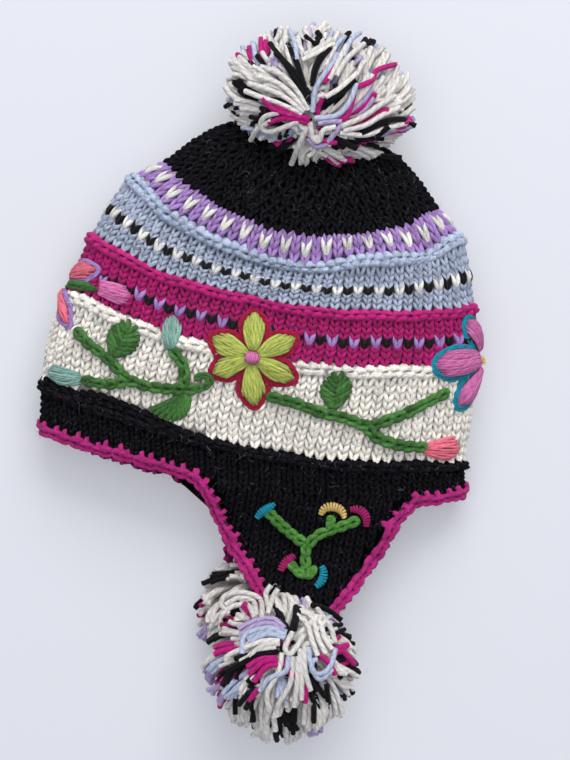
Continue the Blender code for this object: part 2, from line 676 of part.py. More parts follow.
# Chart of the left flap as shares (across, along)
FLAP_STEMS = [
    [(0.20, 0.10), (0.31, 0.24), (0.42, 0.37), (0.52, 0.42), (0.60, 0.29), (0.76, 0.11)],
    [(0.52, 0.42), (0.545, 0.60), (0.555, 0.72)],
    [(0.40, 0.66), (0.555, 0.745), (0.60, 0.68)],
]
FLAP_KNOTS = [
    ("teal_knot_upper", TEAL, (0.15, 0.16), (0.215, 0.015)),
    ("gold_knot", GOLD, (0.545, 0.11), (0.66, 0.09)),
    ("magenta_knot_upper", MAGENTA, (0.70, 0.035), (0.80, 0.15)),
    ("magenta_knot_lower", MAGENTA, (0.375, 0.60), (0.30, 0.74)),
    ("teal_knot_lower", TEAL, (0.74, 0.60), (0.73, 0.73)),
]


def over_ridge(wale, row, lift):
    """Lift measured from the plain cloth, so that a pad bridges a ridge."""
    return hat_point(wale, row, lift)


def on_cloth(wale, row, lift):
    """Lift measured from the cloth with its ridge."""
    return hat_point(wale, row, lift + welt(row))


def on_left_flap(across, along, lift):
    """Lift off the left flap."""
    return flap_point(LEFT_FLAP, LEFT_FLAP_WALES, across, along, lift)


def knot(name, centre, radius, colour, room):
    """Small round knot, cut to what it sits on."""
    form = bmesh.new()
    bmesh.ops.create_icosphere(form, subdivisions=2, radius=radius, matrix=Matrix.Translation(Vector(centre)))
    mesh = bpy.data.meshes.new(name)
    form.to_mesh(mesh)
    form.free()
    item = bpy.data.objects.new(name, mesh)
    bpy.data.collections[COLLECTION].objects.link(item)
    for cutter in room:
        combine(item, cutter, "DIFFERENCE", crossing=True)
    largest_body(item)
    paint(item, name + "_thread", colour)
    return item


def hat_block():
    """Closed block of the outer form with the fitting gap, for cutting embroidery to the cloth."""
    rows = [0.04, 2.5, 4.9, 5.4, 6.1, 6.7, 6.96, 7.04, 12, 17.9, 18.4, 19.1, 19.7, 19.96, 20.04, 23.5, 26.9, 27.4,
            28.1, 28.7, 28.96, 29.04, 32.5, 35.9]
    count = len(CORNERS)
    points = [hat_point(wale, row, welt(row) if row % 1 != 0.96 else 0.0) for row in rows for wale in CORNERS]
    faces = []
    for k in range(len(rows) - 1):
        for j in range(count):
            turn = (j + 1) % count
            low = k * count
            faces.append((low + j, low + turn, low + count + turn, low + count + j))
    faces.append(tuple(reversed(range(count))))
    faces.append(tuple(range((len(rows) - 1) * count, len(rows) * count)))
    block = add_mesh("hat_block", points, faces, CUTTERS)
    room = grown(block, GAP, "hat_room")
    block.hide_render = True
    block.display_type = "WIRE"
    return room


def build():
    """Make every piece of the hat."""
    clear_scene()
    hem = ring("hem_band", 0, HEM_END, [2.5, 4.9, 5.4, 6.1, 6.7], BLACK)
    ring("cream_band", HEM_END, CREAM_END, [12, 17.9, 18.4, 19.1, 19.7], CREAM)
    ring("magenta_band", CREAM_END, MAGENTA_END, [23.5, 26.9, 27.4, 28.1, 28.7], MAGENTA)
    ring("blue_band", MAGENTA_END, BLUE_END, [32.5, 35.9, 36.4, 37.1, 37.7], BLUE)
    ring("lavender_band", BLUE_END, LAVENDER_END, [39.5], LAVENDER)
    crown = closed_top("crown", LAVENDER_END, [45, 49, 53, 56.5, 59], [45, 49, 53, 56], BLACK)
    left_flap = ear_flap("ear_flap_left", LEFT_FLAP, LEFT_FLAP_WALES)
    right_flap = ear_flap("ear_flap_right", RIGHT_FLAP, RIGHT_FLAP_WALES)

    edge = tube("crochet_edge", edge_path(), EDGE_RADIUS, closed=True, sides=1)
    for piece in (hem, left_flap, right_flap):
        combine(edge, grown(piece), "DIFFERENCE")
    largest_body(edge)
    paint(edge, "crochet_edge_wool", MAGENTA)

    top = pompom(TOP_POMPOM, 0.0, HAT_LENGTH)
    combine(top, grown(crown), "DIFFERENCE")
    largest_body(top)
    rear = pompom(RIGHT_POMPOM, *flap_tip(RIGHT_FLAP))
    for piece in (edge, right_flap, left_flap):
        combine(rear, grown(piece), "DIFFERENCE", crossing=True)
    largest_body(rear)
    front = pompom(LEFT_POMPOM, *flap_tip(LEFT_FLAP))
    for piece in (rear, left_flap, right_flap, edge):
        combine(front, grown(piece, GAP * 1.3), "DIFFERENCE", crossing=True)
    largest_body(front)

    room = [hat_block()]
    lime = pad("lime_flower", star(LIME_CENTRE, LIME_PETALS, 0.55), over_ridge, 0.0052, LIME, room)
    lime_room = grown(lime)
    pad("lime_flower_edge", spread(star(LIME_CENTRE, LIME_PETALS, 0.62), 0.50), over_ridge, 0.0040, RED,
        room + [lime_room])
    knot("lime_flower_knot", over_ridge(LIME_CENTRE[0], LIME_CENTRE[1], 0.0060), 0.0034, PINK, [lime_room] + room)
    taken = []
    for name, colour, rise, outline in PADS:
        item = pad(name, outline, over_ridge if rise > 0.004 else on_cloth, rise, colour, room)
        taken.append(grown(item))
    knot("orchid_knot", over_ridge(ORCHID_CENTRE[0], ORCHID_CENTRE[1], 0.0040), 0.0034, GOLD, room + taken)
    stem("vine_left", VINE_LEFT, on_cloth, GREEN, room + taken)
    stem("vine_right", VINE_RIGHT, on_cloth, GREEN, room + taken)

    flap_room = [grown(left_flap), grown(front)]
    vine = stem("vine_flap", FLAP_STEMS, on_left_flap, GREEN, flap_room)
    vine_room = grown(vine)
    for name, colour, start, end in FLAP_KNOTS:
        steps = [(start[0] + (end[0] - start[0]) * k / 3, start[1] + (end[1] - start[1]) * k / 3) for k in range(4)]
        stem(name, [steps], on_left_flap, colour, flap_room + [vine_room], radius=0.0024)


build()
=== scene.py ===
"""Looks of the knitted chullo hat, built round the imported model."""

import math

import bpy
import numpy as np
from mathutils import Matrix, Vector


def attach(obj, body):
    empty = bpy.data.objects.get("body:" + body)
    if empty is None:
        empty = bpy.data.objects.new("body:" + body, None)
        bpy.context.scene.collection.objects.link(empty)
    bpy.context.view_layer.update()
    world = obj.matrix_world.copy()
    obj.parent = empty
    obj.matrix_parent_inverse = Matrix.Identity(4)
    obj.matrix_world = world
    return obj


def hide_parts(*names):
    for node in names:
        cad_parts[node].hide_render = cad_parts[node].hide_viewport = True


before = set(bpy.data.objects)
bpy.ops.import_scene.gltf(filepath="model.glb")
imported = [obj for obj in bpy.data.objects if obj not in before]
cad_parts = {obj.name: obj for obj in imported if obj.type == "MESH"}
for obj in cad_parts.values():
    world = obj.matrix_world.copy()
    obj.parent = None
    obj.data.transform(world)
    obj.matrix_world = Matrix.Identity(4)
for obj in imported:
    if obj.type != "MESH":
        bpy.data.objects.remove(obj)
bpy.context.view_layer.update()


# Camera and light. The photo looks straight down with the crown at the top of the picture, the hat leaning
# ten degrees clockwise. Its 570 pixels span 327 mm. Soft daylight comes from beyond the crown.
ROLL = math.radians(10)
PICTURE_RIGHT = Vector((math.cos(ROLL), math.sin(ROLL), 0))
PICTURE_UP = Vector((-math.sin(ROLL), math.cos(ROLL), 0))
middle = Vector((0.0103, 0.0472, 0))
distance = 1.45
seen_level, seen_width = 0.030, 0.3266
sensor = 36
lens = bpy.data.cameras.new("camera")
lens.sensor_fit = "HORIZONTAL"
lens.sensor_width = sensor
lens.lens = sensor * (distance - seen_level) / seen_width
camera = bpy.data.objects.new("camera", lens)
camera.location = middle + Vector((0, 0, distance))
camera.rotation_euler = (0, 0, ROLL)
bpy.context.scene.collection.objects.link(camera)
bpy.context.scene.camera = camera
bpy.context.scene.view_settings.view_transform = "Standard"


def softbox(name, place, target, size, power, colour):
    """Large soft area light aimed at a point."""
    data = bpy.data.lights.new(name, "AREA")
    data.shape = "RECTANGLE"
    data.size, data.size_y = size
    data.energy = power
    data.color = colour
    lamp = bpy.data.objects.new(name, data)
    lamp.location = place
    lamp.rotation_euler = (Vector(target) - Vector(place)).to_track_quat("-Z", "Y").to_euler()
    bpy.context.scene.collection.objects.link(lamp)


window_place = middle + PICTURE_UP * 1.7 + PICTURE_RIGHT * 0.35 + Vector((0, 0, 1.45))
softbox("window", window_place, middle, (1.8, 1.3), 42, (1.0, 0.985, 0.965))
sky_place = middle + PICTURE_UP * 0.3 + Vector((0, 0, 2.2))
softbox("sky", sky_place, middle, (3.0, 3.0), 33, (0.95, 0.97, 1.0))
world = bpy.data.worlds.new("room")
world.use_nodes = True
room = world.node_tree.nodes["Background"].inputs
room["Color"].default_value = (0.86, 0.89, 1.0, 1)
room["Strength"].default_value = 0.48
bpy.context.scene.world = world


# Sums on node sockets, for materials and for Geometry Nodes alike.
class Field:
    """A node socket that can be added to, multiplied and so on."""

    def __init__(self, tree, socket):
        self.tree = tree
        self.socket = socket

    def math(self, kind, other=0.0):
        return node(self.tree, "ShaderNodeMath", {0: self, 1: other}, operation=kind)

    def __add__(self, other):
        return self.math("ADD", other)

    def __mul__(self, other):
        return self.math("MULTIPLY", other)

    def __sub__(self, other):
        return self.math("SUBTRACT", other)

    def __truediv__(self, other):
        return self.math("DIVIDE", other)

    def __radd__(self, other):
        return self + other

    def __rmul__(self, other):
        return self * other

    def __rsub__(self, other):
        return self * -1.0 + other


def node(tree, kind, sockets=None, output=0, **settings):
    """Add any node, set its options and sockets, and give one output back as a Field."""
    made = tree.nodes.new(kind)
    for name, value in settings.items():
        setattr(made, name, value)
    for name, value in (sockets or {}).items():
        slot = made.inputs[name]
        if isinstance(value, Field):
            tree.links.new(value.socket, slot)
        else:
            slot.default_value = value
    return Field(tree, made.outputs[output])


def combine(tree, x=0.0, y=0.0, z=0.0):
    """Vector from three fields or numbers."""
    return node(tree, "ShaderNodeCombineXYZ", {"X": x, "Y": y, "Z": z})


def separate(tree, value):
    """The three parts of a vector."""
    first = node(tree, "ShaderNodeSeparateXYZ", {0: value})
    return [Field(tree, socket) for socket in first.socket.node.outputs]


# Wool. Thick two-ply yarn, matt with a soft sheen, with painted shade between the plies and at the sides and
# ends of each strand. The attribute "yarn" picks one of the colours, and "tone" varies strand from strand.
def wool(name, colours, sheen=0.08, twist=0.6, spread=0.26, dark=0.5, ply=0.34, mottle=0.85, pale_wisps_and_highlight=0.0,
         gloss=0.14):
    """Procedural yarn from a list of colours picked by the attribute yarn, with painted shade and painted
    highlight.
    """
    material = bpy.data.materials.new(name)
    material.use_nodes = True
    tree = material.node_tree
    shader = tree.nodes["Principled BSDF"]
    place = node(tree, "ShaderNodeTexCoord", output=3)
    strand = node(tree, "ShaderNodeAttribute", output=1, attribute_name="strand")
    along, cosine, sine = separate(tree, strand)
    shade, yarn, tone = (node(tree, "ShaderNodeAttribute", output=2, attribute_name=label)
                         for label in ("shade", "yarn", "tone"))
    colour = node(tree, "ShaderNodeRGB")
    colour.socket.default_value = (*colours[0], 1)
    for number, value in enumerate(colours[1:]):
        pick = yarn.math("GREATER_THAN", number + 0.5)
        colour = node(tree, "ShaderNodeMix", {"Factor": pick, "A": colour, "B": (*value, 1)}, output=2,
                      data_type="RGBA")
    wind = along * (twist * 6.283) + tone * 9.0
    # groove is low between the two plies; darkening the colour by it (scaled by "ply") is painted shade, its
    # use in the bump is relief
    groove = (wind.math("SINE") * cosine + wind.math("COSINE") * sine).math("ABSOLUTE").math("POWER", 0.45)
    lengthwise = combine(tree, along * 2.2 + tone * 90.0, cosine * 2.4 + tone * 40.0, sine * 2.4)
    streak = node(tree, "ShaderNodeTexNoise",
                  {"Vector": lengthwise, "Scale": 1.0, "Detail": 5.0, "Roughness": 0.72})
    nap = node(tree, "ShaderNodeTexNoise",
               {"Vector": place, "Scale": 1500.0, "Detail": 3.0, "Roughness": 0.7})
    fibre = ((streak - 0.5) * 1.7 + (nap - 0.5) * 1.5 + 0.5).math("MAXIMUM", 0.0).math("MINIMUM", 1.0)
    cloud = node(tree, "ShaderNodeTexNoise", {"Vector": place, "Scale": 63.0, "Detail": 2.0})
    # painted shade: up to "dark" darker where the per-point shade attribute is low, at the sides and ends of
    # strands, deep in the pompoms, and on backings and cores, which lack the attribute
    light = (1.0 - dark + shade * dark) * (1.0 - spread / 2 + tone * spread)
    light = light * (1.0 - ply + groove * ply * 1.25) * (1.0 - mottle / 2 + fibre * mottle)
    light = light * (0.88 + cloud * 0.24)
    if pale_wisps_and_highlight:
        curls = node(tree, "ShaderNodeTexNoise",
                     {"Vector": place, "Scale": 330.0, "Detail": 1.5, "Distortion": 2.0})
        # pale curly stray fibres, their own colour
        light = light + (1.0 - (curls - 0.5).math("ABSOLUTE") * 32.0).math("MAXIMUM", 0.0) * (pale_wisps_and_highlight * 0.7)
        # painted highlight: pale streaks along the tops of the strands, where the shade attribute is high
        light = light + ((streak + nap) * 2.6 - 2.3).math("MAXIMUM", 0.0) * shade.math("POWER", 2.0) * pale_wisps_and_highlight
    grey = node(tree, "ShaderNodeCombineColor", {"Red": light, "Green": light, "Blue": light})
    lit = node(tree, "ShaderNodeMix", {"Factor": 1.0, "A": colour, "B": grey}, output=2,
               data_type="RGBA", blend_type="MULTIPLY", clamp_result=False)
    tree.links.new(lit.socket, shader.inputs["Base Color"])
    height = groove * 1.6 + fibre * 1.4
    bump = node(tree, "ShaderNodeBump", {"Strength": 0.8, "Distance": 0.0005, "Height": height})
    tree.links.new(bump.socket, shader.inputs["Normal"])
    for label, value in (("Roughness", 0.92), ("Specular IOR Level", gloss), ("Sheen Weight", sheen),
                         ("Sheen Roughness", 0.45)):
        shader.inputs[label].default_value = value
    return material


# Form of the cloth. The hat is 250 mm wide and 200 mm from hem to top, 84 stitches round, 60 rows high; each
# level is a flattened loop, fuller on the upper layer, in shares of width, length and depth. The sides are a
# little narrower than those of the solids, because the stitches stand out of them.
WIDTH, LENGTH, DEPTH, KNIT = 0.250, 0.200, 0.056, 0.004
ROUND, TOP_ROW = 84, 60
# stitch and row in mm
PITCH = np.array([5.95, 3.96])
# row, half width, left y, right y, middle y, lean, top, left edge, right edge, bottom
LEVELS = np.array([
    (0, 0.495, -0.014, 0.012, -0.086, 0.000, 0.66, 0.39, 0.25, 0.00),
    (7, 0.495, 0.117, 0.100, 0.034, -0.014, 0.79, 0.36, 0.27, 0.00),
    (13.5, 0.495, 0.249, 0.246, 0.169, -0.017, 0.89, 0.36, 0.32, 0.00),
    (20, 0.475, 0.395, 0.395, 0.300, -0.009, 0.96, 0.38, 0.36, 0.00),
    (29, 0.443, 0.559, 0.550, 0.453, -0.008, 1.00, 0.39, 0.39, 0.00),
    (38, 0.372, 0.745, 0.742, 0.584, -0.002, 0.96, 0.39, 0.39, 0.00),
    (41, 0.321, 0.794, 0.799, 0.655, 0.000, 0.93, 0.39, 0.39, 0.00),
    (46, 0.266, 0.865, 0.868, 0.739, 0.000, 0.86, 0.39, 0.39, 0.00),
    (51, 0.206, 0.925, 0.925, 0.837, 0.000, 0.75, 0.38, 0.38, 0.00),
    (56, 0.119, 0.968, 0.968, 0.931, 0.000, 0.61, 0.34, 0.34, 0.05),
    (60, 0.016, 0.991, 0.991, 0.984, 0.000, 0.45, 0.32, 0.32, 0.18)])
LEVEL_SLOPE = np.gradient(LEVELS[:, 1:], LEVELS[:, 0], axis=0)
# row, stitch, rows long, stitches wide, rise, shift toward the crown (shares of depth)
FOLDS = [
    (0, -9, 6.0, 7.0, 0.05, 0.07),
    (35.5, -5, 2.0, 10.0, -0.11, 0.00),
    (38, 9, 2.5, 3.5, 0.06, 0.06),
    (38, 1, 2.5, 2.5, -0.04, -0.03),
    (38, 15, 2.2, 2.2, -0.04, -0.05),
    (50, -4, 3.0, 3.0, -0.05, 0.00)]
BAND_ENDS = (7, 20, 29, 38)
# Embroidery that presses a ridge or a patterned stitch flat: ends (stitch, row) and reach in mm
PRESSED = [
    ((-4.6, 20.6), (2.0, 20.2), 9.0), ((-1.4, 19.0), (-1.7, 25.4), 8.0), ((-1.2, 19.2), (0.0, 14.0), 8.0),
    ((16.0, 19.9), (20.4, 19.9), 8.6), ((20.4, 21.0), (19.0, 26.0), 6.5), ((-9.0, 17.6), (-9.1, 21.8), 5.6),
    ((-16.6, 22.0), (-13.4, 22.6), 5.0), ((-21.0, 20.0), (-17.0, 21.3), 4.5),
    ((-21.4, 19.4), (-18.6, 17.0), 5.5), ((-13.0, 16.5), (-12.6, 18.6), 6.5),
    ((6.9, 15.5), (6.5, 18.5), 6.0), ((-20.8, 21.4), (-17.4, 24.0), 6.5), ((0.4, 21.0), (2.1, 23.2), 6.5)]


def pressed(x, y):
    """Whether embroidery covers this stitch and row."""
    spot = np.array([x, y]) * PITCH
    for start, end, reach in PRESSED:
        start, end = start * PITCH, end * PITCH
        run = end - start
        share = np.clip(np.dot(spot - start, run) / np.dot(run, run), 0, 1)
        if np.linalg.norm(spot - start - run * share) < reach:
            return True
    return False


def walk(points):
    """Length walked to each point of a line."""
    return np.concatenate([[0], np.cumsum(np.linalg.norm(np.diff(points, axis=0), axis=1))])


def points_at(line, walked, places):
    """Points of a line after these lengths."""
    return np.stack([np.interp(places, walked, line[:, k]) for k in range(line.shape[1])], -1)


# powers that round the sides, the upper and the lower layer of a row, and that bow it toward the hem
SIDE_POWER, UPPER_POWER, LOWER_POWER, BOW_POWER = 0.72, 0.78, 0.6, 2.3


def row_loop(row):
    """Points round one row and the length walked to each."""
    if row < 0:
        share = LEVELS[0, 1:] + LEVEL_SLOPE[0] * row
    else:
        i = min(int(np.searchsorted(LEVELS[:, 0], row, side="right")) - 1, len(LEVELS) - 2)
        span = LEVELS[i + 1, 0] - LEVELS[i, 0]
        t = (row - LEVELS[i, 0]) / span
        share = (1 + 2 * t) * (1 - t) ** 2 * LEVELS[i, 1:] + t * (1 - t) ** 2 * span * LEVEL_SLOPE[i]
        share = share + t * t * (3 - 2 * t) * LEVELS[i + 1, 1:] + t * t * (t - 1) * span * LEVEL_SLOPE[i + 1]
    half, left, right, centre, lean, top, left_edge, right_edge, bottom = share
    turn = np.linspace(0, 2 * math.pi, 721)
    upward, sideways = np.cos(turn), np.sin(turn)
    across = np.sign(sideways) * np.abs(sideways) ** SIDE_POWER
    edge = left_edge * (1 - across) / 2 + right_edge * (1 + across) / 2
    upper = edge + (top - edge) * np.abs(upward) ** UPPER_POWER
    lower = edge + (bottom - edge) * np.minimum(1, 1.12 * np.abs(upward) ** LOWER_POWER)
    side = left * (1 - across) / 2 + right * (1 + across) / 2
    x = (lean + half * across) * WIDTH
    y = (side - (side - centre) * (1 - np.abs(across) ** BOW_POWER)) * LENGTH
    z = np.where(upward > 0, upper, lower) * DEPTH
    points = np.stack([x, y, z], 1)
    return points, walk(points)


RIDGE_ROWS, RIDGE_HEIGHT = 2.2, 0.003


def ridge(rows):
    """How far the purl ridge at the top of a band stands out."""
    out = np.zeros(len(rows))
    for end in BAND_ENDS:
        share = np.clip((end - rows) / RIDGE_ROWS, 0, 1)
        out += RIDGE_HEIGHT * np.sin(math.pi * share) ** 0.6
    return out


def cloth(wales, rows, lift=0.0, with_ridge=True):
    """Grid of points and outward normals of the cloth at these stitches and rows."""
    wales, rows = np.asarray(wales, float), np.asarray(rows, float)

    def plain(w, r):
        grid = np.empty((len(r), len(w), 3))
        turned = (w + ROUND / 2) % ROUND - ROUND / 2
        fade = np.clip((21 - np.abs(turned)) / 3, 0, 1)
        for i, row in enumerate(r):
            points, walked = row_loop(row)
            grid[i] = points_at(points, walked, (w / ROUND % 1.0) * walked[-1])
            for at_row, at_wale, long, wide, rise, shift in FOLDS:
                near = np.exp(-((turned - at_wale) / wide) ** 2 - ((row - at_row) / long) ** 2) * fade
                grid[i, :, 1] += shift * DEPTH * near
                grid[i, :, 2] += rise * DEPTH * near
        return grid

    face = plain(wales, rows)
    around = plain(wales + 0.4, rows) - plain(wales - 0.4, rows)
    along = plain(wales, np.minimum(rows + 0.3, TOP_ROW)) - plain(wales, rows - 0.3)
    out = np.cross(around, along)
    out /= np.linalg.norm(out, axis=2, keepdims=True)
    raised = (ridge(rows) if with_ridge else np.zeros(len(rows))) + lift
    face = face + out * raised[:, None, None]
    face[:, :, 2] = np.maximum(face[:, :, 2], 0.0)
    return face, out


def hat_point(wale, row, lift=0.0, with_ridge=True):
    """One point of the cloth and its normal."""
    face, out = cloth([wale], [row], lift, with_ridge)
    return face[0, 0], out[0, 0]


def mesh_object(name, points, faces, edges=()):
    """Plain smooth mesh object linked to the scene."""
    mesh = bpy.data.meshes.new(name)
    mesh.from_pydata([tuple(p) for p in points], edges, faces)
    mesh.polygons.foreach_set("use_smooth", [True] * len(mesh.polygons))
    item = bpy.data.objects.new(name, mesh)
    bpy.context.scene.collection.objects.link(item)
    return item


def put(item, name, values):
    """Store numbers or vectors on the points of a mesh object."""
    values = np.ascontiguousarray(values, np.float32)
    kind, field = ("FLOAT", "value") if values.ndim == 1 else ("FLOAT_VECTOR", "vector")
    layer = item.data.attributes.new(name, kind, "POINT")
    layer.data.foreach_set(field, values.reshape(-1))


def chart_sheet(name, face, out, chart_x, chart_y, box):
    """Surface whose UV map "chart" says which stitch and row each point is."""
    high, wide = face.shape[:2]
    faces = [(i * wide + j, i * wide + j + 1, (i + 1) * wide + j + 1, (i + 1) * wide + j)
             for i in range(high - 1) for j in range(wide - 1)]
    item = mesh_object(name, face.reshape(-1, 3), faces)
    put(item, "out", out.reshape(-1, 3))
    layer = item.data.uv_layers.new(name="chart")
    corner = np.empty(len(item.data.loops), np.int32)
    item.data.loops.foreach_get("vertex_index", corner)
    low_x, high_x, low_y, high_y = box
    uv = np.stack([(chart_x.reshape(-1) - low_x) / (high_x - low_x),
                   (chart_y.reshape(-1) - low_y) / (high_y - low_y)], 1)[corner]
    layer.data.foreach_set("uv", uv.reshape(-1).astype(np.float32))
    item.hide_render = True
    return item


# stitches from and to, rows from and to; the cloth under the stitches lies a little lower than the solids
HAT_BOX = (-46.0, 46.0, -2.0, 60.0)
BEDDED = -0.0015
wale_line = np.arange(-46, 46.01, 0.5)
row_line = np.arange(-2, 60.01, 0.25)
hat_face, hat_out = cloth(wale_line, row_line, BEDDED)
hat_chart = np.meshgrid(wale_line, row_line)
hat_sheet = chart_sheet("hat_sheet", hat_face, hat_out, *hat_chart, HAT_BOX)


# Stitches. A knit stitch is a V of two plump legs of 3 mm yarn, its point toward the hem; a purl stitch shows
# as an arch across. Both are drawn once, in stitches across, rows along and metres up, and repeated.
def half_strand(stations, ratio=0.66):
    """Upper half of a strand through stations (x, y, z, half width, half height)."""
    sides = 4
    points, faces, marks = [], [], []
    count = len(stations)
    for i, (x, y, z, wide, high) in enumerate(stations):
        before, after = stations[max(i - 1, 0)], stations[min(i + 1, count - 1)]
        run = np.array([after[0] - before[0], (after[1] - before[1]) * ratio])
        side = np.array([run[1], -run[0]]) / np.linalg.norm(run)
        for k in range(sides + 1):
            angle = math.pi * (1 - k / sides)
            cosine, sine = math.cos(angle), math.sin(angle)
            points.append((x + side[0] * wide * cosine, y + side[1] * wide * cosine / ratio, z + high * sine))
            # last mark: painted shade, 1 along the top of the strand and 0 at its sides
            marks.append((i / (count - 1), cosine, sine, max(0.0, sine) ** 0.6))
    for i in range(count - 1):
        for k in range(sides):
            a = i * (sides + 1) + k
            faces.append((a, a + sides + 1, a + sides + 2, a + 1))
    return points, faces, marks


def strand_object(name, strands):
    """Join strands into one mesh with the attributes "strand" and "shade"."""
    points, faces, marks = [], [], []
    for more, joined, spots in strands:
        faces += [tuple(v + len(points) for v in face) for face in joined]
        points += more
        marks += spots
    item = mesh_object(name, points, faces)
    marks = np.array(marks)
    put(item, "strand", marks[:, :3])
    put(item, "shade", marks[:, 3])
    item.hide_render = True
    return item


def leg(side):
    """One leg of a knit stitch; side is -1 or 1."""
    line = [(0.05, -0.30, 0.0000, 0.09, 0.0009), (0.11, -0.05, 0.0006, 0.17, 0.0015),
            (0.19, 0.30, 0.0008, 0.215, 0.0017), (0.275, 0.68, 0.0003, 0.215, 0.0016),
            (0.35, 1.05, -0.0006, 0.19, 0.0014), (0.40, 1.40, -0.0018, 0.13, 0.0010)]
    plump = 1.0 + 0.09 * side
    return half_strand([(side * x, y, z + side * 0.00012, wide * plump, high)
                        for x, y, z, wide, high in line])


knit_stitch = strand_object("knit_stitch", [leg(-1), leg(1)])
arch = [(-0.64, -0.46, -0.0026, 0.14, 0.0009), (-0.50, -0.18, -0.0006, 0.19, 0.0013),
        (-0.27, 0.10, 0.0009, 0.23, 0.0016), (0.0, 0.20, 0.0015, 0.245, 0.0017),
        (0.27, 0.10, 0.0009, 0.23, 0.0016), (0.50, -0.18, -0.0006, 0.19, 0.0013),
        (0.64, -0.46, -0.0026, 0.14, 0.0009)]
purl_stitch = strand_object("purl_stitch", [half_strand(arch)])


# The knitting itself is a Geometry Nodes tree: it sets one stitch on every point of a chart, then carries the
# flat knitting onto the cloth by looking up place and normal for each stitch and row.
def tree_with(name, inputs):
    """New Geometry Nodes tree with named inputs; gives the tree and its inputs as Fields."""
    tree = bpy.data.node_groups.new(name, "GeometryNodeTree")
    tree.interface.new_socket("Geometry", in_out="INPUT", socket_type="NodeSocketGeometry")
    for label, kind in inputs:
        tree.interface.new_socket(label, in_out="INPUT", socket_type="NodeSocket" + kind)
    tree.interface.new_socket("Geometry", in_out="OUTPUT", socket_type="NodeSocketGeometry")
    entry = tree.nodes.new("NodeGroupInput")
    found = {socket.name: Field(tree, socket) for socket in entry.outputs if socket.name}
    return tree, found


def finish_tree(tree, shape, material):
    """Real geometry, smooth shading, material and output."""
    shape = node(tree, "GeometryNodeRealizeInstances", {"Geometry": shape})
    shape = node(tree, "GeometryNodeSetShadeSmooth", {"Geometry": shape})
    shape = node(tree, "GeometryNodeSetMaterial", {"Geometry": shape, "Material": material})
    out = tree.nodes.new("NodeGroupOutput")
    tree.links.new(shape.socket, out.inputs[0])


def run_tree(item, tree, values):
    """Give an object the tree with these inputs and bake it to a plain mesh."""
    step = item.modifiers.new(tree.name, "NODES")
    step.node_group = tree
    for socket in tree.interface.items_tree:
        if socket.in_out == "INPUT" and socket.name in values:
            step[socket.identifier] = values[socket.name]
    graph = bpy.context.evaluated_depsgraph_get()
    mesh = bpy.data.meshes.new_from_object(item.evaluated_get(graph))
    item.modifiers.clear()
    item.data = mesh
    item.hide_render = False
    return item


def object_shape(tree, item):
    """Geometry of an object input."""
    return node(tree, "GeometryNodeObjectInfo", {"Object": item}, output=4, transform_space="ORIGINAL")


def attribute(tree, name, kind="FLOAT"):
    """Named attribute as a field."""
    return node(tree, "GeometryNodeInputNamedAttribute", {"Name": name}, data_type=kind)


def store(tree, shape, name, value, kind="FLOAT"):
    """Keep a field as a named attribute."""
    return node(tree, "GeometryNodeStoreNamedAttribute", {"Geometry": shape, "Name": name, "Value": value},
                data_type=kind)


def chance(tree, seed, low=0.0, high=1.0):
    """Random number, or vector between two vectors, for each point."""
    first, kind = (0, "FLOAT_VECTOR") if isinstance(low, (Field, tuple)) else (2, "FLOAT")
    return node(tree, "FunctionNodeRandomValue", {first: low, first + 1: high, "Seed": seed},
                output=first // 2, data_type=kind)


def join_shapes(tree, *shapes):
    """Several geometries as one."""
    joined = tree.nodes.new("GeometryNodeJoinGeometry")
    for shape in shapes:
        tree.links.new(shape.socket, joined.inputs[0])
    return Field(tree, joined.outputs[0])


def lay_on_sheet(tree, shape, sheet, box):
    """Carry chart geometry onto a sheet by its UV map "chart"; what lies past its rim stays at the rim."""
    low_x, high_x, low_y, high_y = box
    position = node(tree, "GeometryNodeInputPosition")
    x, y, z = separate(tree, position)
    u, v = (share.math("MAXIMUM", 0.0005).math("MINIMUM", 0.9995)
            for share in ((x - low_x) / (high_x - low_x), (y - low_y) / (high_y - low_y)))
    place, out = (node(tree, "GeometryNodeSampleUVSurface",
                       {"Mesh": sheet, "Value": value, "UV Map": attribute(tree, "chart", "FLOAT_VECTOR"),
                        "Sample UV": combine(tree, u, v)}, data_type="FLOAT_VECTOR")
                  for value in (position, attribute(tree, "out", "FLOAT_VECTOR")))
    out = node(tree, "ShaderNodeVectorMath", {0: out, "Scale": z}, operation="SCALE")
    place = node(tree, "ShaderNodeVectorMath", {0: place, 1: out}, operation="ADD")
    x, y, height = separate(tree, place)
    place = combine(tree, x, y, height.math("MAXIMUM", 0.0002))
    return node(tree, "GeometryNodeSetPosition", {"Geometry": shape, "Position": place})


def knitting_tree(name, box):
    """Stitches on the points of a chart, laid on a sheet and joined to their backing."""
    tree, given = tree_with(name, [("Sheet", "Object"), ("Stitch", "Object"), ("Backing", "Object"),
                                   ("Wool", "Material"), ("Seed", "Int"), ("Unevenness", "Float")])
    loose = given["Unevenness"]
    shift = chance(tree, given["Seed"], combine(tree, loose * -1.0, loose * -1.6, loose * -0.002),
                   combine(tree, loose, loose * 1.6, loose * 0.004))
    points = node(tree, "GeometryNodeSetPosition", {"Geometry": given["Geometry"], "Offset": shift})
    points = store(tree, points, "tone", chance(tree, given["Seed"] + 1.0))
    size = chance(tree, given["Seed"] + 2.0, 0.94, 1.06)
    scale = combine(tree, attribute(tree, "wide") * size, attribute(tree, "tall"), size)
    turn = combine(tree, 0.0, 0.0, attribute(tree, "turn"))
    shape = node(tree, "GeometryNodeInstanceOnPoints",
                 {"Points": points, "Instance": object_shape(tree, given["Stitch"]), "Scale": scale,
                  "Rotation": turn})
    shape = node(tree, "GeometryNodeRealizeInstances", {"Geometry": shape})
    shape = lay_on_sheet(tree, shape, object_shape(tree, given["Sheet"]), box)
    shape = join_shapes(tree, shape, object_shape(tree, given["Backing"]))
    finish_tree(tree, shape, given["Wool"])
    return tree


hat_knitting = knitting_tree("hat_knitting", HAT_BOX)


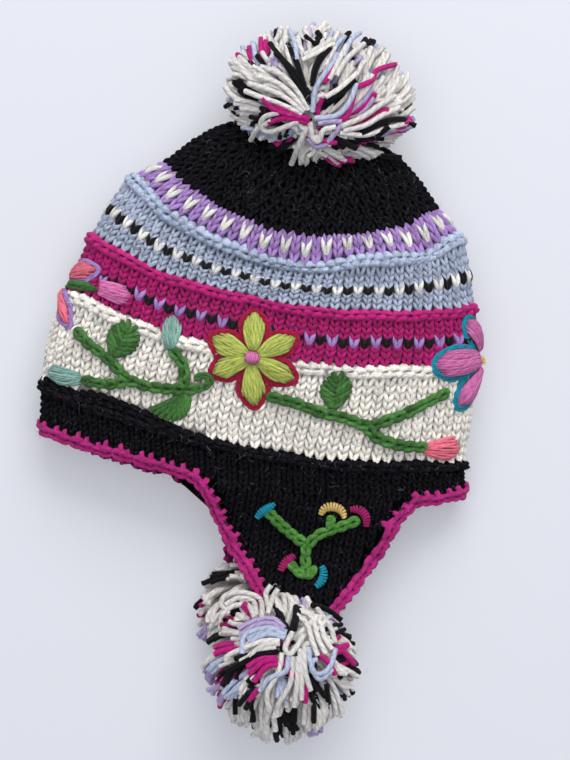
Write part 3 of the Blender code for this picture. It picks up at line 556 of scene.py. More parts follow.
# Loose fibres. Fine hairs 3 to 6 mm long stand off every yarn; on the black wool they are pale and show most.
# A second tree scatters them over a finished piece.
hair_points = []
for k in range(6):
    t = k / 5
    for side in (-1, 1):
        hair_points.append((0.0040 * t, 0.0012 * math.sin(t * 3.6) + side * 0.000075 * (1 - 0.5 * t),
                            0.0015 * math.sin(t * 2.4)))
hair = mesh_object("hair", hair_points, [(2 * k, 2 * k + 2, 2 * k + 3, 2 * k + 1) for k in range(5)])
hair.hide_render = True
fuzz_tree, given = tree_with("loose_fibres", [("Hair", "Object"), ("Wool", "Material"), ("Density", "Float"),
                                              ("Yarn", "Float"), ("Reach", "Float"), ("Seed", "Int")])
scatter = node(fuzz_tree, "GeometryNodeDistributePointsOnFaces",
               {"Mesh": given["Geometry"], "Density": given["Density"], "Seed": given["Seed"]})
facing = Field(fuzz_tree, scatter.socket.node.outputs["Rotation"])
spin = chance(fuzz_tree, given["Seed"], (-0.5, -0.9, 0.0), (0.5, 0.35, 6.28))
spin = node(fuzz_tree, "FunctionNodeEulerToRotation", {"Euler": spin})
facing = node(fuzz_tree, "FunctionNodeRotateRotation", {"Rotation": facing, "Rotate By": spin},
              rotation_space="LOCAL")
length = chance(fuzz_tree, given["Seed"] + 5.0, 0.5, 1.4) * given["Reach"]
bend = chance(fuzz_tree, given["Seed"] + 6.0, -2.5, 2.5)
size = combine(fuzz_tree, length, bend.math("ABSOLUTE") * 0.2 + 0.8, length)
hairs = node(fuzz_tree, "GeometryNodeInstanceOnPoints",
             {"Points": scatter, "Instance": object_shape(fuzz_tree, given["Hair"]), "Rotation": facing,
              "Scale": size})
hairs = node(fuzz_tree, "GeometryNodeRealizeInstances", {"Geometry": hairs})
for label, value in (("yarn", attribute(fuzz_tree, "yarn").math("MAXIMUM", given["Yarn"])), ("shade", 1.0),
                     ("tone", 0.9)):
    hairs = store(fuzz_tree, hairs, label, value)
spot = node(fuzz_tree, "ShaderNodeVectorMath",
            {0: node(fuzz_tree, "GeometryNodeInputPosition"), 1: (-9.0, -9.0, 0.0002)}, operation="MAXIMUM")
hairs = node(fuzz_tree, "GeometryNodeSetPosition", {"Geometry": hairs, "Position": spot})
finish_tree(fuzz_tree, join_shapes(fuzz_tree, hairs, given["Geometry"]), given["Wool"])
# fibres to a square metre
BLACK_FIBRES, FIBRES = 34000, 14000


def finish_piece(item, name, node_name, density, pale=0.0, reach=1.0, seed=0):
    """Add loose fibres to a finished mesh and hand it over in place of its solid."""
    item.name = name
    material = next(found for found in item.data.materials if found)
    run_tree(item, fuzz_tree, {"Hair": hair, "Wool": material, "Density": float(density), "Yarn": float(pale),
                               "Reach": float(reach), "Seed": seed + 3})
    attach(item, "root")
    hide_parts(node_name)
    return item


# Bands. Knitted in the round from the hem up: black, cream, magenta, light blue and lavender. The first four
# end in a purl ridge that stands 3 mm proud, and the last three carry a row of stitches in other yarns.
def chart_points(name, rows, waver=0.0):
    """Points of a chart from rows (x, y, width of a stitch, height, yarn, turn), the lines a little wavy."""
    rows = np.array(rows, float)
    x, y = rows[:, 0].copy(), rows[:, 1].copy()
    rows[:, 1] += waver * (np.sin(x * 0.47 + y * 0.13) + 0.7 * np.sin(x * 1.09 + y * 0.31 + 2)
                           + 0.5 * np.sin(x * 0.19 - y * 0.22 + 1))
    rows[:, 0] += waver * 0.5 * (np.sin(y * 0.53 + x * 0.17) + 0.6 * np.sin(y * 1.21 + x * 0.11 + 1))
    lifts = rows[:, 6] if rows.shape[1] > 6 else np.zeros(len(rows))
    item = mesh_object(name, np.column_stack([rows[:, :2], lifts]), [])
    for label, column in (("wide", 2), ("tall", 3), ("yarn", 4), ("turn", 5)):
        put(item, label, rows[:, column])
    return item


def backing(name, rows, wales):
    """Plain cloth just under the stitches, with its inner face and rims."""
    # The inner face is real cloth; its points carry no shade attribute, so the wool paints it at full painted
    # shade, darker than the stitches it shows between.
    outer, _ = cloth(wales, rows, BEDDED - 0.0006)
    inner, _ = cloth(wales, rows, -KNIT, with_ridge=False)
    high, wide = outer.shape[:2]
    points = np.concatenate([outer, inner[::-1]], 0).reshape(-1, 3)
    faces = []
    for i in range(2 * high):
        for j in range(wide):
            k, turn = (i + 1) % (2 * high), (j + 1) % wide
            faces.append((i * wide + j, i * wide + turn, k * wide + turn, k * wide + j))
    item = mesh_object(name, points, faces)
    item.hide_render = True
    return item


def climb(x):
    """Rows by which the ridge of the hem rolls over the cream knitting at a stitch."""
    return 1.9 * math.exp(-((x + 12) / 6.5) ** 2)


def knit_band(name, first, end, stitches, yarn_of, material, node_name, slot_name, purl, seed):
    """Stitches, purl ridge and backing of one band as one piece."""
    plain_end = end - 2 if purl else end
    rows = []
    for row in range(first, plain_end):
        count = stitches(row) if callable(stitches) else stitches
        for k in range(count):
            x = (k + 0.5) * ROUND / count - ROUND / 2
            if first == BAND_ENDS[0] and row + 0.4 < first + climb(x):
                continue
            yarn = yarn_of(row, k)
            if yarn in (1, 2):
                # a patterned stitch is plumper and stands proud, unless embroidery covers it
                tall, lift = (1.0, -0.0010) if pressed(x, row + 0.5) else (1.4, 0.0009)
                rows.append((x, row - 0.1, ROUND / count * 1.06, tall, yarn, 0.0, lift))
            else:
                rows.append((x, row, ROUND / count, 1.0, yarn, 0.0, 0.0))
    points = chart_points(name, rows, 0.16)
    wales = np.arange(-ROUND / 2, ROUND / 2, 1.0)
    back = backing(name + "_backing", np.arange(first, end + 0.01, 0.5), wales)
    values = {"Sheet": hat_sheet, "Stitch": knit_stitch, "Backing": back, "Wool": material, "Seed": seed,
              "Unevenness": 0.045}
    run_tree(points, hat_knitting, values)
    pieces = [points]
    if purl:
        rows = []
        for k in range(stitches):
            x = (k + 0.5) * ROUND / stitches - ROUND / 2
            lean = 0.34 + 0.24 * math.sin(k * 2.3 + end)
            over = climb(x) if first == 0 else 0.0
            # an arch, one upside down half a stitch on, a small one below, and more where the hem climbs
            steps = [(0.0, 0.70, 1.45, lean, -0.0007),
                     (ROUND / 2 / stitches, 1.18, -1.4, lean - 0.1, -0.0010),
                     (16 / stitches, 1.80, 1.0, lean * 0.6, -0.0018)]
            steps += [(x * 7 % 1, down, 1.3, lean, -0.0012) for down in np.arange(2.3, 1.9 + over, 0.5)]
            for shift, down, tall, tilt, lift in steps:
                row = end + over - down
                lift += 0.0014 * min(1.0, max(0.0, row - 6.2)) if over > 0.2 else 0.0
                lift -= 0.0016 if pressed(x + shift, row) else 0.0
                rows.append((x + shift, row, ROUND / stitches * 1.02, tall, yarn_of(end - 1, k), tilt, lift))
        welt = chart_points(name + "_welt", rows, 0.16)
        empty = mesh_object(name + "_none", [], [])
        run_tree(welt, hat_knitting, {**values, "Stitch": purl_stitch, "Backing": empty, "Seed": seed + 7,
                                      "Unevenness": 0.08})
        bpy.data.objects.remove(empty)
        pieces.append(welt)
    piece = join_pieces(pieces, name)
    bpy.data.objects.remove(back)
    dark = slot_name == "black_knit"
    return finish_piece(piece, name, node_name, BLACK_FIBRES if dark else FIBRES,
                        1.0 if dark else 0.0, seed=seed)


def join_pieces(items, name):
    """Several mesh objects as one."""
    for other in bpy.context.selected_objects:
        other.select_set(False)
    for item in items:
        item.select_set(True)
    bpy.context.view_layer.objects.active = items[0]
    if len(items) > 1:
        bpy.ops.object.join()
    items[0].name = name
    return items[0]


BLACK = (0.0042, 0.0038, 0.0048)
PALE_FIBRE = (0.060, 0.058, 0.060)
CREAM = (0.960, 0.905, 0.810)
# Magenta and blue each have a lighter copy of the same yarn for the purl ridge, a painted highlight where the
# ridge stands up into the light; the band's magenta is also darkened as painted shade for the valley it lies
# in.
MAGENTA, MAGENTA_RIDGE_PAINTED_LIT = (0.450, 0.008, 0.150), (0.540, 0.015, 0.195)
BLUE, BLUE_RIDGE_PAINTED_LIT = (0.415, 0.470, 0.595), (0.460, 0.530, 0.680)
LAVENDER = (0.400, 0.235, 0.560)
WHITE = (0.800, 0.775, 0.730)
# The black wool has pale stray fibres and a painted highlight on the tops of its strands, over deep painted
# shade at their sides.
black_wool = wool("black_knit", [BLACK, PALE_FIBRE], sheen=0.0, spread=0.6, mottle=1.5, pale_wisps_and_highlight=4.0, dark=0.7,
                  gloss=0.03)
cream_wool = wool("cream_knit", [CREAM], dark=0.36, ply=0.24)
magenta_wool = wool("magenta_knit", [MAGENTA, BLACK, LAVENDER, MAGENTA_RIDGE_PAINTED_LIT])
blue_wool = wool("blue_knit", [BLUE, BLACK, WHITE, BLUE_RIDGE_PAINTED_LIT])
lavender_wool = wool("lavender_knit", [LAVENDER, WHITE])
knit_band("hem_band_knit", 0, 7, ROUND, lambda row, k: 0, black_wool, "hem_band", "black_knit", True, 1)
knit_band("cream_band_knit", 7, 20, ROUND, lambda row, k: 0, cream_wool, "cream_band", "cream_knit", True, 2)
# yarn 3 is the painted lighter copy of the band's yarn, taken by the purl ridge
knit_band("magenta_band_knit", 20, 29, ROUND, lambda row, k: (1 + k % 2) if row == 23 else 3 * (row == 28),
          magenta_wool, "magenta_band", "magenta_knit", True, 3)
knit_band("blue_band_knit", 29, 38, ROUND, lambda row, k: (1 + k % 2) if row == 32 else 3 * (row == 37),
          blue_wool, "blue_band", "blue_knit", True, 4)
knit_band("lavender_band_knit", 38, 41, 72, lambda row, k: (k % 2) if row == 39 else 0, lavender_wool,
          "lavender_band", "lavender_knit", False, 5)


# Crown. Plain black knitting, 19 rows high, gathered from 66 stitches at its foot to 8 under the top pompom,
# where it is drawn shut. The same yarn as the hem.
def crown_count(row):
    """Stitches left in a row of the crown."""
    rows, counts = (41, 44, 47, 50, 52, 54, 56, 58, TOP_ROW), (66, 58, 50, 42, 34, 24, 16, 11, 8)
    return int(round(np.interp(row, rows, counts)))


knit_band("crown_knit", 41, TOP_ROW, crown_count, lambda row, k: 0, black_wool, "crown", "black_knit", False,
          6)


# Ear flaps. Black knitting 4 mm thick, 78 mm from hem to tip, stitches 6 mm wide and rows 4 mm high. The left
# flap shows its right side; the right flap lies face down and shows the purl side.
STITCH, ROW = 0.00595, 0.00396
# y as a share of length, left and right of width, and heights left, in the middle and right of depth
LEFT_LEVELS = np.array([
    (-0.150, -0.054, 0.328, 0.48, 0.56, 0.50), (-0.200, -0.030, 0.312, 0.43, 0.50, 0.46),
    (-0.260, -0.002, 0.290, 0.41, 0.47, 0.45), (-0.315, 0.036, 0.268, 0.46, 0.50, 0.47),
    (-0.365, 0.070, 0.248, 0.55, 0.57, 0.53), (-0.425, 0.104, 0.216, 0.64, 0.65, 0.62),
    (-0.475, 0.134, 0.174, 0.70, 0.70, 0.68)])
RIGHT_LEVELS = np.array([
    (-0.120, -0.132, 0.240, 0.13, 0, 0), (-0.170, -0.072, 0.224, 0.13, 0, 0),
    (-0.240, -0.032, 0.200, 0.10, 0, 0), (-0.300, -0.004, 0.172, 0.02, 0, 0),
    (-0.360, 0.020, 0.140, 0, 0, 0), (-0.420, 0.040, 0.104, 0, 0, 0)])
# stitches from and to, rows from and to
FLAP_BOX = (-16.0, 26.0, -28.0, 4.0)


def flap_levels(levels, wales):
    """Level table of a flap in metres, starting from its line along the hem."""
    ends, _ = cloth([wales[0], (wales[0] + wales[1]) / 2, wales[1]], [0], with_ridge=False)
    left, mid, right = ends[0]
    first = ((left[1] + right[1]) / 2, left[0], right[0], left[2], mid[2], right[2])
    return np.vstack([first, levels * (LENGTH, WIDTH, WIDTH, DEPTH, DEPTH, DEPTH)])


def bowed(across, left, middle, right):
    """Height of a flap across its width."""
    return left * (1 - across) + right * across + (middle - (left + right) / 2) * (4 * across * (1 - across))


def flap_grid(levels, wales, across, along):
    """Outer face of a flap on a grid, with its chart coordinates."""
    table = flap_levels(levels, wales)
    across, along = np.asarray(across, float), np.asarray(along, float)
    place = along * (len(table) - 1)
    rows = np.stack([np.interp(place, range(len(table)), table[:, k]) for k in range(6)], 1)
    rows += np.maximum(place - len(table) + 1, 0)[:, None] * (table[-1] - table[-2])
    y, left, right, z_left, z_mid, z_right = (rows[:, k, None] for k in range(6))
    x = left + (right - left) * across
    z = bowed(across, z_left, z_mid, z_right)
    face = np.stack([x, y + 0 * x, z], 2)
    hem = cloth(wales[0] + (wales[1] - wales[0]) * across, [0], with_ridge=False)[0][0]
    first = flap_first(table, across)
    face += (hem - first)[None] * (np.maximum(0, 1 - 2.2 * along) ** 2)[:, None, None]
    return face, x / STITCH, (y - table[0, 0]) / ROW + 0 * x


def flap_first(table, across):
    """Straight line that the hem edge of a flap is measured from."""
    y, left, right, *heights = table[0]
    return np.stack([left + (right - left) * across, y + 0 * across, bowed(across, *heights)], 1)


def grid_normals(face, flip=1):
    """Unit normals of a grid."""
    out = np.cross(np.gradient(face, axis=1), np.gradient(face, axis=0)) * flip
    return out / np.linalg.norm(out, axis=2, keepdims=True)


def slab(name, top, bottom):
    """Closed slab between two grids."""
    high, wide = top.shape[:2]
    grid = np.concatenate([top.reshape(-1, 3), bottom.reshape(-1, 3)])
    faces = []
    for i in range(high - 1):
        for j in range(wide - 1):
            a = i * wide + j
            faces.append((a, a + 1, a + wide + 1, a + wide))
            faces.append(tuple(v + high * wide for v in (a, a + wide, a + wide + 1, a + 1)))
    rim = list(range(wide)) + [i * wide + wide - 1 for i in range(1, high)]
    rim += [(high - 1) * wide + j for j in range(wide - 2, -1, -1)]
    rim += [i * wide for i in range(high - 2, 0, -1)]
    for k, a in enumerate(rim):
        b = rim[(k + 1) % len(rim)]
        faces.append((b, a, high * wide + a, high * wide + b))
    grid[:, 2] = np.maximum(grid[:, 2], 0.0)
    item = mesh_object(name, grid, faces)
    item.hide_render = True
    return item


flap_knitting = knitting_tree("flap_knitting", FLAP_BOX)


def knit_flap(name, levels, wales, raised, stitch, node_name, seed):
    """Knitted flap with its backing as one piece."""
    across = np.linspace(-0.3, 1.3, 33)
    along = np.linspace(0, 1.15, 47)
    face, chart_x, chart_y = flap_grid(levels, wales, across, along)
    over, _ = cloth(wales[0] + (wales[1] - wales[0]) * across, [2.0, 1.0], with_ridge=False)
    face = np.concatenate([over, face])
    chart_x = np.concatenate([chart_x[:1], chart_x[:1], chart_x])
    chart_y = np.concatenate([chart_y[:1] + 2, chart_y[:1] + 1, chart_y])
    out = grid_normals(face, -1)
    face = face + out * raised
    sheet = chart_sheet(name + "_sheet", face, out, chart_x, chart_y, FLAP_BOX)
    table = flap_levels(levels, wales)
    depth = (table[:, 0] - table[0, 0]) / ROW
    rows = []
    for row in range(1, int(-depth[-1]) + 1):
        left = np.interp(row, -depth, table[:, 1]) / STITCH
        right = np.interp(row, -depth, table[:, 2]) / STITCH
        for k in range(-12, 24):
            if left + 0.35 < k + 0.5 < right - 0.35:
                rows.append((k + 0.5, -row, 0.9 if stitch is purl_stitch else 1.0, 1.0, 0, 0.0))
    points = chart_points(name, rows)
    part, _, _ = flap_grid(levels, wales, np.linspace(-0.028, 1.028, 23), along[:42])
    normal = grid_normals(part, -1)
    part = part + normal * raised
    # the backing carries no shade attribute, so it takes full painted shade between the stitches
    back = slab(name + "_backing", part - normal * 0.0005, part - normal * KNIT)
    run_tree(points, flap_knitting, {"Sheet": sheet, "Stitch": stitch, "Backing": back, "Wool": black_wool,
                                     "Seed": seed, "Unevenness": 0.04})
    bpy.data.objects.remove(sheet)
    bpy.data.objects.remove(back)
    return finish_piece(points, name, node_name, BLACK_FIBRES, 1.0, seed=seed)


LEFT_WALES, RIGHT_WALES = (-3.6, 13.9), (49.5, 32.0)
knit_flap("ear_flap_left_knit", LEFT_LEVELS, LEFT_WALES, 0.0, knit_stitch, "ear_flap_left", 11)
knit_flap("ear_flap_right_knit", RIGHT_LEVELS, RIGHT_WALES, KNIT, purl_stitch, "ear_flap_right", 12)


# Crochet edge. One closed round of magenta crochet along the hem and both flaps, 5 mm thick: a chain on top,
# and every 6.3 mm a whip stitch that wraps the edge and bites 5 mm into the black knitting.
def edge_stations():
    """Middle line of the crochet and the direction away from the cloth."""
    off, row_height = 0.0029, 0.0042
    path, away_line = [], []

    def hem(start, end, count):
        for k in range(count):
            wale = start + (end - start) * k / (count - 1)
            middle, _ = hat_point(wale, -off / row_height, -KNIT / 2, with_ridge=False)
            inner, _ = hat_point(wale, 0.5, -KNIT / 2, with_ridge=False)
            path.append(middle)
            away_line.append(middle - inner)

    def flap(levels, wales, side, steps):
        face, _, _ = flap_grid(levels, wales, np.array([0.5, side, side + 0.01]), steps)
        normal = grid_normals(face, -1)
        if levels is RIGHT_LEVELS:
            normal = -normal
        for k, along in enumerate(steps):
            inner = face[k, 0] - normal[k, 0] * KNIT / 2
            rim = face[k, 1] - normal[k, 1] * KNIT / 2
            away = (rim - inner) / np.linalg.norm(rim - inner)
            place = rim + away * off
            if levels is RIGHT_LEVELS and side == 0:
                # tucked under the left flap
                tuck = min(1, max(0, (0.62 - along) / 0.12)) * min(1, max(0, (along - 0.02) / 0.1))
                place = place - away * 0.0065 * tuck
                place[2] -= 0.0050 * tuck
            path.append(place)
            away_line.append(away)

    def tip(levels, wales):
        face, _, _ = flap_grid(levels, wales, np.array([0.5]), [1.0])
        path.append(face[0, 0] + np.array([0, -off * 1.3, -KNIT / 2]))
        away_line.append(np.array([0, -1.0, 0]))

    down = np.arange(0.1, 1.01, 0.1)
    hem(RIGHT_WALES[0] - ROUND + 0.6, LEFT_WALES[0] - 1.3, 17)
    flap(LEFT_LEVELS, LEFT_WALES, 0.0, down)
    tip(LEFT_LEVELS, LEFT_WALES)
    flap(LEFT_LEVELS, LEFT_WALES, 1.0, down[::-1])
    hem(LEFT_WALES[1] + 1.3, RIGHT_WALES[1] - 1.4, 12)
    flap(RIGHT_LEVELS, RIGHT_WALES, 1.0, down)
    tip(RIGHT_LEVELS, RIGHT_WALES)
    flap(RIGHT_LEVELS, RIGHT_WALES, 0.0, down[::-1])
    path, away_line = np.array(path), np.array(away_line)
    away_line /= np.linalg.norm(away_line, axis=1, keepdims=True)
    path[:, 2] = np.maximum(path[:, 2], 0.0027)
    return path, away_line


def resample(count, *lines):
    """Even steps along a closed line, and the same steps of those that follow it."""
    closed = [np.vstack([line, line[:1]]) for line in lines]
    walked = walk(closed[0])
    steps = np.linspace(0, walked[-1], count)
    return [points_at(line, walked, steps) for line in closed]


WHIP_PITCH = 0.0063
edge_line, edge_away = edge_stations()
edge_count = int(walk(np.vstack([edge_line, edge_line[:1]]))[-1] / WHIP_PITCH)
edge_line, edge_away = resample(edge_count * 4 + 1, edge_line, edge_away)
kernel = np.array([1, 2, 3, 2, 1]) / 9
for _ in range(2):
    for line in (edge_line, edge_away):
        for k in range(3):
            ring = np.concatenate([line[-3:-1, k], line[:, k], line[1:3, k]])
            line[:, k] = np.convolve(ring, kernel, "valid")
tangent = np.gradient(edge_line, axis=0)
tangent[0] = tangent[-1] = edge_line[1] - edge_line[-2]
tangent /= np.linalg.norm(tangent, axis=1, keepdims=True)
edge_away -= tangent * np.sum(edge_away * tangent, axis=1, keepdims=True)
edge_away /= np.linalg.norm(edge_away, axis=1, keepdims=True)
edge_up = np.cross(edge_away, tangent)
# steps across the edge, and how far away from the cloth and out of it they lie in mm
EDGE_PROFILE = np.array([
    (-2.6, -8.6, 3.0), (-1.6, -5.8, 3.4), (-0.8, -3.2, 3.4), (-0.2, -1.2, 2.9), (0.4, 0.7, 2.2),
    (1.0, 1.9, 1.1), (1.5, 2.2, 0), (2.0, 1.9, -1.1), (2.6, 0.7, -2.2), (3.2, -1.2, -2.9), (3.8, -3.2, -3.4)])
levels_across = np.arange(-2.6, 3.81, 0.2)
off_away = np.interp(levels_across, EDGE_PROFILE[:, 0], EDGE_PROFILE[:, 1]) / 1000
off_up = np.interp(levels_across, EDGE_PROFILE[:, 0], EDGE_PROFILE[:, 2]) / 1000
edge_face = edge_line + edge_away * off_away[:, None, None] + edge_up * off_up[:, None, None]
edge_out = grid_normals(edge_face, -1)
EDGE_BOX = (0.0, float(edge_count), -2.6, 3.8)
edge_chart = np.meshgrid(np.arange(edge_count * 4 + 1) / 4, levels_across)
edge_sheet = chart_sheet("edge_sheet", edge_face, edge_out, *edge_chart, EDGE_BOX)
# a link of the chain and the whip that wraps the edge, along it, across it and up
chain = [[(-0.42, side * 0.05, -0.0006, 0.12, 0.0009), (-0.10, side * 0.42, 0.0004, 0.165, 0.0013),
          (0.30, side * 0.62, 0.0009, 0.185, 0.0015), (0.70, side * 0.60, 0.0007, 0.18, 0.0014),
          (1.05, side * 0.40, 0.0, 0.15, 0.0011), (1.25, side * 0.15, -0.0010, 0.11, 0.0009)]
         for side in (-1, 1)]
whip = [(0.27, -1.72, -0.0012, 0.17, 0.0012), (0.33, -1.42, 0.0002, 0.23, 0.0016),
        (0.42, -0.8, 0.0005, 0.24, 0.0016), (0.50, -0.2, 0.0001, 0.22, 0.0013),
        (0.55, 0.9, 0.0003, 0.21, 0.0013), (0.58, 1.8, 0.0003, 0.21, 0.0013),
        (0.60, 2.4, 0.0003, 0.20, 0.0013), (0.60, 2.9, -0.0008, 0.16, 0.0009)]
edge_stitch = strand_object("edge_stitch", [half_strand(line, ratio=0.39) for line in (*chain, whip)])
# the same without the bite, for the lower right side of the left flap
edge_plain = strand_object("edge_plain", [half_strand(line, ratio=0.39) for line in (*chain, whip[3:])])
# The core carries no shade attribute either, so it takes full painted shade between the crochet stitches.
core_wide, core_high, core_shift = 0.0021, 0.0018, 0.0010
sides = np.linspace(0, 2 * math.pi, 9)[:-1]
core = (edge_line + edge_away * (core_wide * np.cos(sides) - core_shift)[:, None, None]
        + edge_up * (core_high * np.sin(sides))[:, None, None])
wide = core.shape[1] - 1
edge_core = mesh_object("edge_core", core[:, :-1].reshape(-1, 3),
                        [(i * wide + j, i * wide + (j + 1) % wide, (i + 1) % 8 * wide + (j + 1) % wide,
                          (i + 1) % 8 * wide + j) for i in range(8) for j in range(wide)])
edge_core.hide_render = True
edge_rows = {True: [], False: []}
for k in range(edge_count - 1):
    x, y, z = edge_line[4 * k + 2]
    tall = 1.0 + 0.17 * math.sin(k * 1.7) + 0.12 * math.sin(k * 4.1)
    plain = 0.045 < x < 0.085 and y < -0.030 and z > 0.012
    edge_rows[plain].append((k + 0.2 + 0.1 * math.sin(k * 2.9), 0, 1.0, tall, 0, 0.0))
edge_points = chart_points("crochet_edge_wool", edge_rows[False])
edge_more = chart_points("crochet_edge_more", edge_rows[True])
edge_tree = knitting_tree("edge_crochet", EDGE_BOX)
CROCHET_MAGENTA = (0.50, 0.020, 0.205)
crochet_wool = wool("crochet_wool", [CROCHET_MAGENTA], mottle=1.1)
values = {"Sheet": edge_sheet, "Stitch": edge_stitch, "Backing": edge_core, "Wool": crochet_wool, "Seed": 21,
          "Unevenness": 0.09}
run_tree(edge_points, edge_tree, values)
none = mesh_object("none", [], [])
run_tree(edge_more, edge_tree, {**values, "Stitch": edge_plain, "Backing": none})
for item in (edge_sheet, edge_stitch, edge_plain, edge_core, none):
    bpy.data.objects.remove(item)
edge_points = join_pieces([edge_points, edge_more], "crochet_edge_wool")
EDGE_FIBRES = 22000
finish_piece(edge_points, "crochet_edge_wool", "crochet_edge", EDGE_FIBRES, seed=21)


# Threads and yarn ends. A tree that sweeps a round thread along every line of a mesh, with its own thickness,
# colour and tone: used for pompom yarn and for all the embroidery.
thread_tree, given = tree_with("threads", [("Wool", "Material"), ("Sides", "Int")])
curve = node(thread_tree, "GeometryNodeMeshToCurve", {"Mesh": given["Geometry"]})
walked = node(thread_tree, "GeometryNodeSplineParameter", output=1)
turn_length = 0.0055
curve = store(thread_tree, curve, "run", walked / turn_length)
circle = node(thread_tree, "GeometryNodeCurvePrimitiveCircle", {"Resolution": given["Sides"], "Radius": 1.0})
angle = node(thread_tree, "GeometryNodeSplineParameter") * (2 * math.pi)
circle = store(thread_tree, circle, "round", combine(thread_tree, angle.math("COSINE"), angle.math("SINE")),
               "FLOAT_VECTOR")
shape = node(thread_tree, "GeometryNodeCurveToMesh",
             {"Curve": curve, "Profile Curve": circle, "Fill Caps": True,
              "Scale": attribute(thread_tree, "thick")})
cosine, sine, _ = separate(thread_tree, attribute(thread_tree, "round", "FLOAT_VECTOR"))
strand = combine(thread_tree, attribute(thread_tree, "run"), cosine, sine)
finish_tree(thread_tree, store(thread_tree, shape, "strand", strand, "FLOAT_VECTOR"), given["Wool"])


def threads(name, lines, material, node_name, density=16000, reach=0.5):
    """Sweep threads along lines of (points, thickness, yarn, tone, shade)."""
    points, edges, values = [], [], []
    for line, thick, yarn, tone, shade in lines:
        line = np.array(line, float)
        thick = np.broadcast_to(thick, len(line))
        shade = np.broadcast_to(shade, len(line))
        line[:, 2] = np.maximum(line[:, 2], thick)
        edges += [(len(points) + k, len(points) + k + 1) for k in range(len(line) - 1)]
        values += [(t, yarn, tone, s) for t, s in zip(thick, shade)]
        points += list(line)
    item = mesh_object(name, points, [], edges)
    for label, column in zip(("thick", "yarn", "tone", "shade"), np.array(values).T):
        put(item, label, column)
    run_tree(item, thread_tree, {"Wool": material, "Sides": 6})
    return finish_piece(item, name, node_name, density, 0.0, reach, seed=len(lines))


def smooth_line(points, steps=5):
    """Rounded line through points."""
    points = np.array(points, float)
    padded = np.vstack([2 * points[0] - points[1], points, 2 * points[-1] - points[-2]])
    line = []
    for i in range(len(points) - 1):
        a, b, c, d = padded[i:i + 4]
        for t in np.arange(steps) / steps:
            line.append(0.5 * (2 * b + (c - a) * t + (2 * a - 5 * b + 4 * c - d) * t * t
                               + (3 * b - a - 3 * c + d) * t ** 3))
    return np.array(line + [points[-1]])


# Pompoms. Hundreds of yarn ends 3 mm thick, tied at one point and spread over a dome: mostly white, with
# clusters of black, magenta, light blue and lavender, as the wool was wound.
POMPOM_WHITE, POMPOM_BLACK = (0.780, 0.745, 0.700), (0.0065, 0.0055, 0.0075)
POMPOM_MAGENTA, POMPOM_BLUE = (0.520, 0.016, 0.200), (0.500, 0.560, 0.720)
POMPOM_LAVENDER = (0.500, 0.400, 0.640)
pompom_yarn = wool("pompom_yarn", [POMPOM_WHITE, POMPOM_BLACK, POMPOM_MAGENTA, POMPOM_BLUE, POMPOM_LAVENDER],
                   sheen=0.06, twist=0.5, dark=0.6, gloss=0.05, spread=0.2, ply=0.22, mottle=0.6)
YARN_RADIUS, TOP_YARN_RADIUS = 0.00150, 0.00160


def pompom(name, centre, radii, tie, count, seed, extra=()):
    """Yarn ends from a tie over a dome, wound in bundles of one colour."""
    luck = np.random.RandomState(seed)
    centre, radii, tie = np.array(centre), np.array(radii), np.array(tie)
    toward = (tie - centre) / radii
    toward /= np.linalg.norm(toward)
    bundles = count // 5
    lines = []
    for k in range(bundles):
        height = 1 - 2 * (k + 0.5) / bundles
        flat = math.sqrt(1 - height * height)
        turn = math.pi * (3 - math.sqrt(5)) * k
        head = np.array([flat * math.cos(turn), flat * math.sin(turn), height]) + luck.normal(size=3) * 0.05
        colour = luck.choice(5, p=(0.56, 0.21, 0.10, 0.07, 0.06))
        swerve = luck.normal(size=3) * 0.16
        root = luck.normal(size=3) * 0.06
        tall = luck.choice((1.0, 0.93, 0.84), p=(0.6, 0.25, 0.15))
        wave = luck.normal(size=3) * 0.0014
        for member in range(5):
            axis = head + luck.normal(size=3) * 0.065
            axis /= np.linalg.norm(axis)
            reach = tall * (0.98 + luck.normal() * 0.022)
            middle = axis * 0.66 + toward * 0.46 + swerve + luck.normal(size=3) * 0.035
            middle *= reach * 0.96 / np.linalg.norm(middle)
            start = centre + radii * (toward * 0.84 + root + luck.normal(size=3) * 0.02)
            t = np.linspace(0, 1, 9)[:, None]
            bend, end = centre + radii * middle, centre + radii * axis * reach
            line = (1 - t) ** 2 * start + 2 * t * (1 - t) * bend + t * t * end
            line += np.sin(t * math.pi * 1.7 + member * 0.3) * wave * t
            line += np.sin(t * math.pi * 3.6 + 6.28 * luck.random_sample()) * wave[::-1] * t * 0.3
            widths = np.full(9, YARN_RADIUS * (1 + luck.normal() * 0.10))
            widths[0] *= 0.8
            # painted shade: darker toward the tie inside the pompom and on the shorter, inner bundles
            shade = np.clip(0.25 + 1.1 * t[:, 0], 0, 1) * (0.35 + 0.65 * tall)
            yarn = 0 if luck.random_sample() < 0.1 else colour
            lines.append((line, widths, yarn, luck.random_sample(), shade))
    for yarn, spots, lift in extra:
        route = smooth_line(spots) / 1000
        across = tie[0] + route[:, 0] * PICTURE_RIGHT.x + route[:, 1] * PICTURE_UP.x
        along = tie[1] + route[:, 0] * PICTURE_RIGHT.y + route[:, 1] * PICTURE_UP.y
        inside = 1 - ((across - centre[0]) / radii[0]) ** 2 - ((along - centre[1]) / radii[1]) ** 2
        up = centre[2] + radii[2] * np.sqrt(np.maximum(inside, 0.02)) + lift / 1000
        widths = np.full(len(route), TOP_YARN_RADIUS)
        lines.append((np.stack([across, along, up], 1), widths, yarn, luck.random_sample(), 0.95))
    return threads(name + "_yarn", lines, pompom_yarn, name, density=8000, reach=0.9)


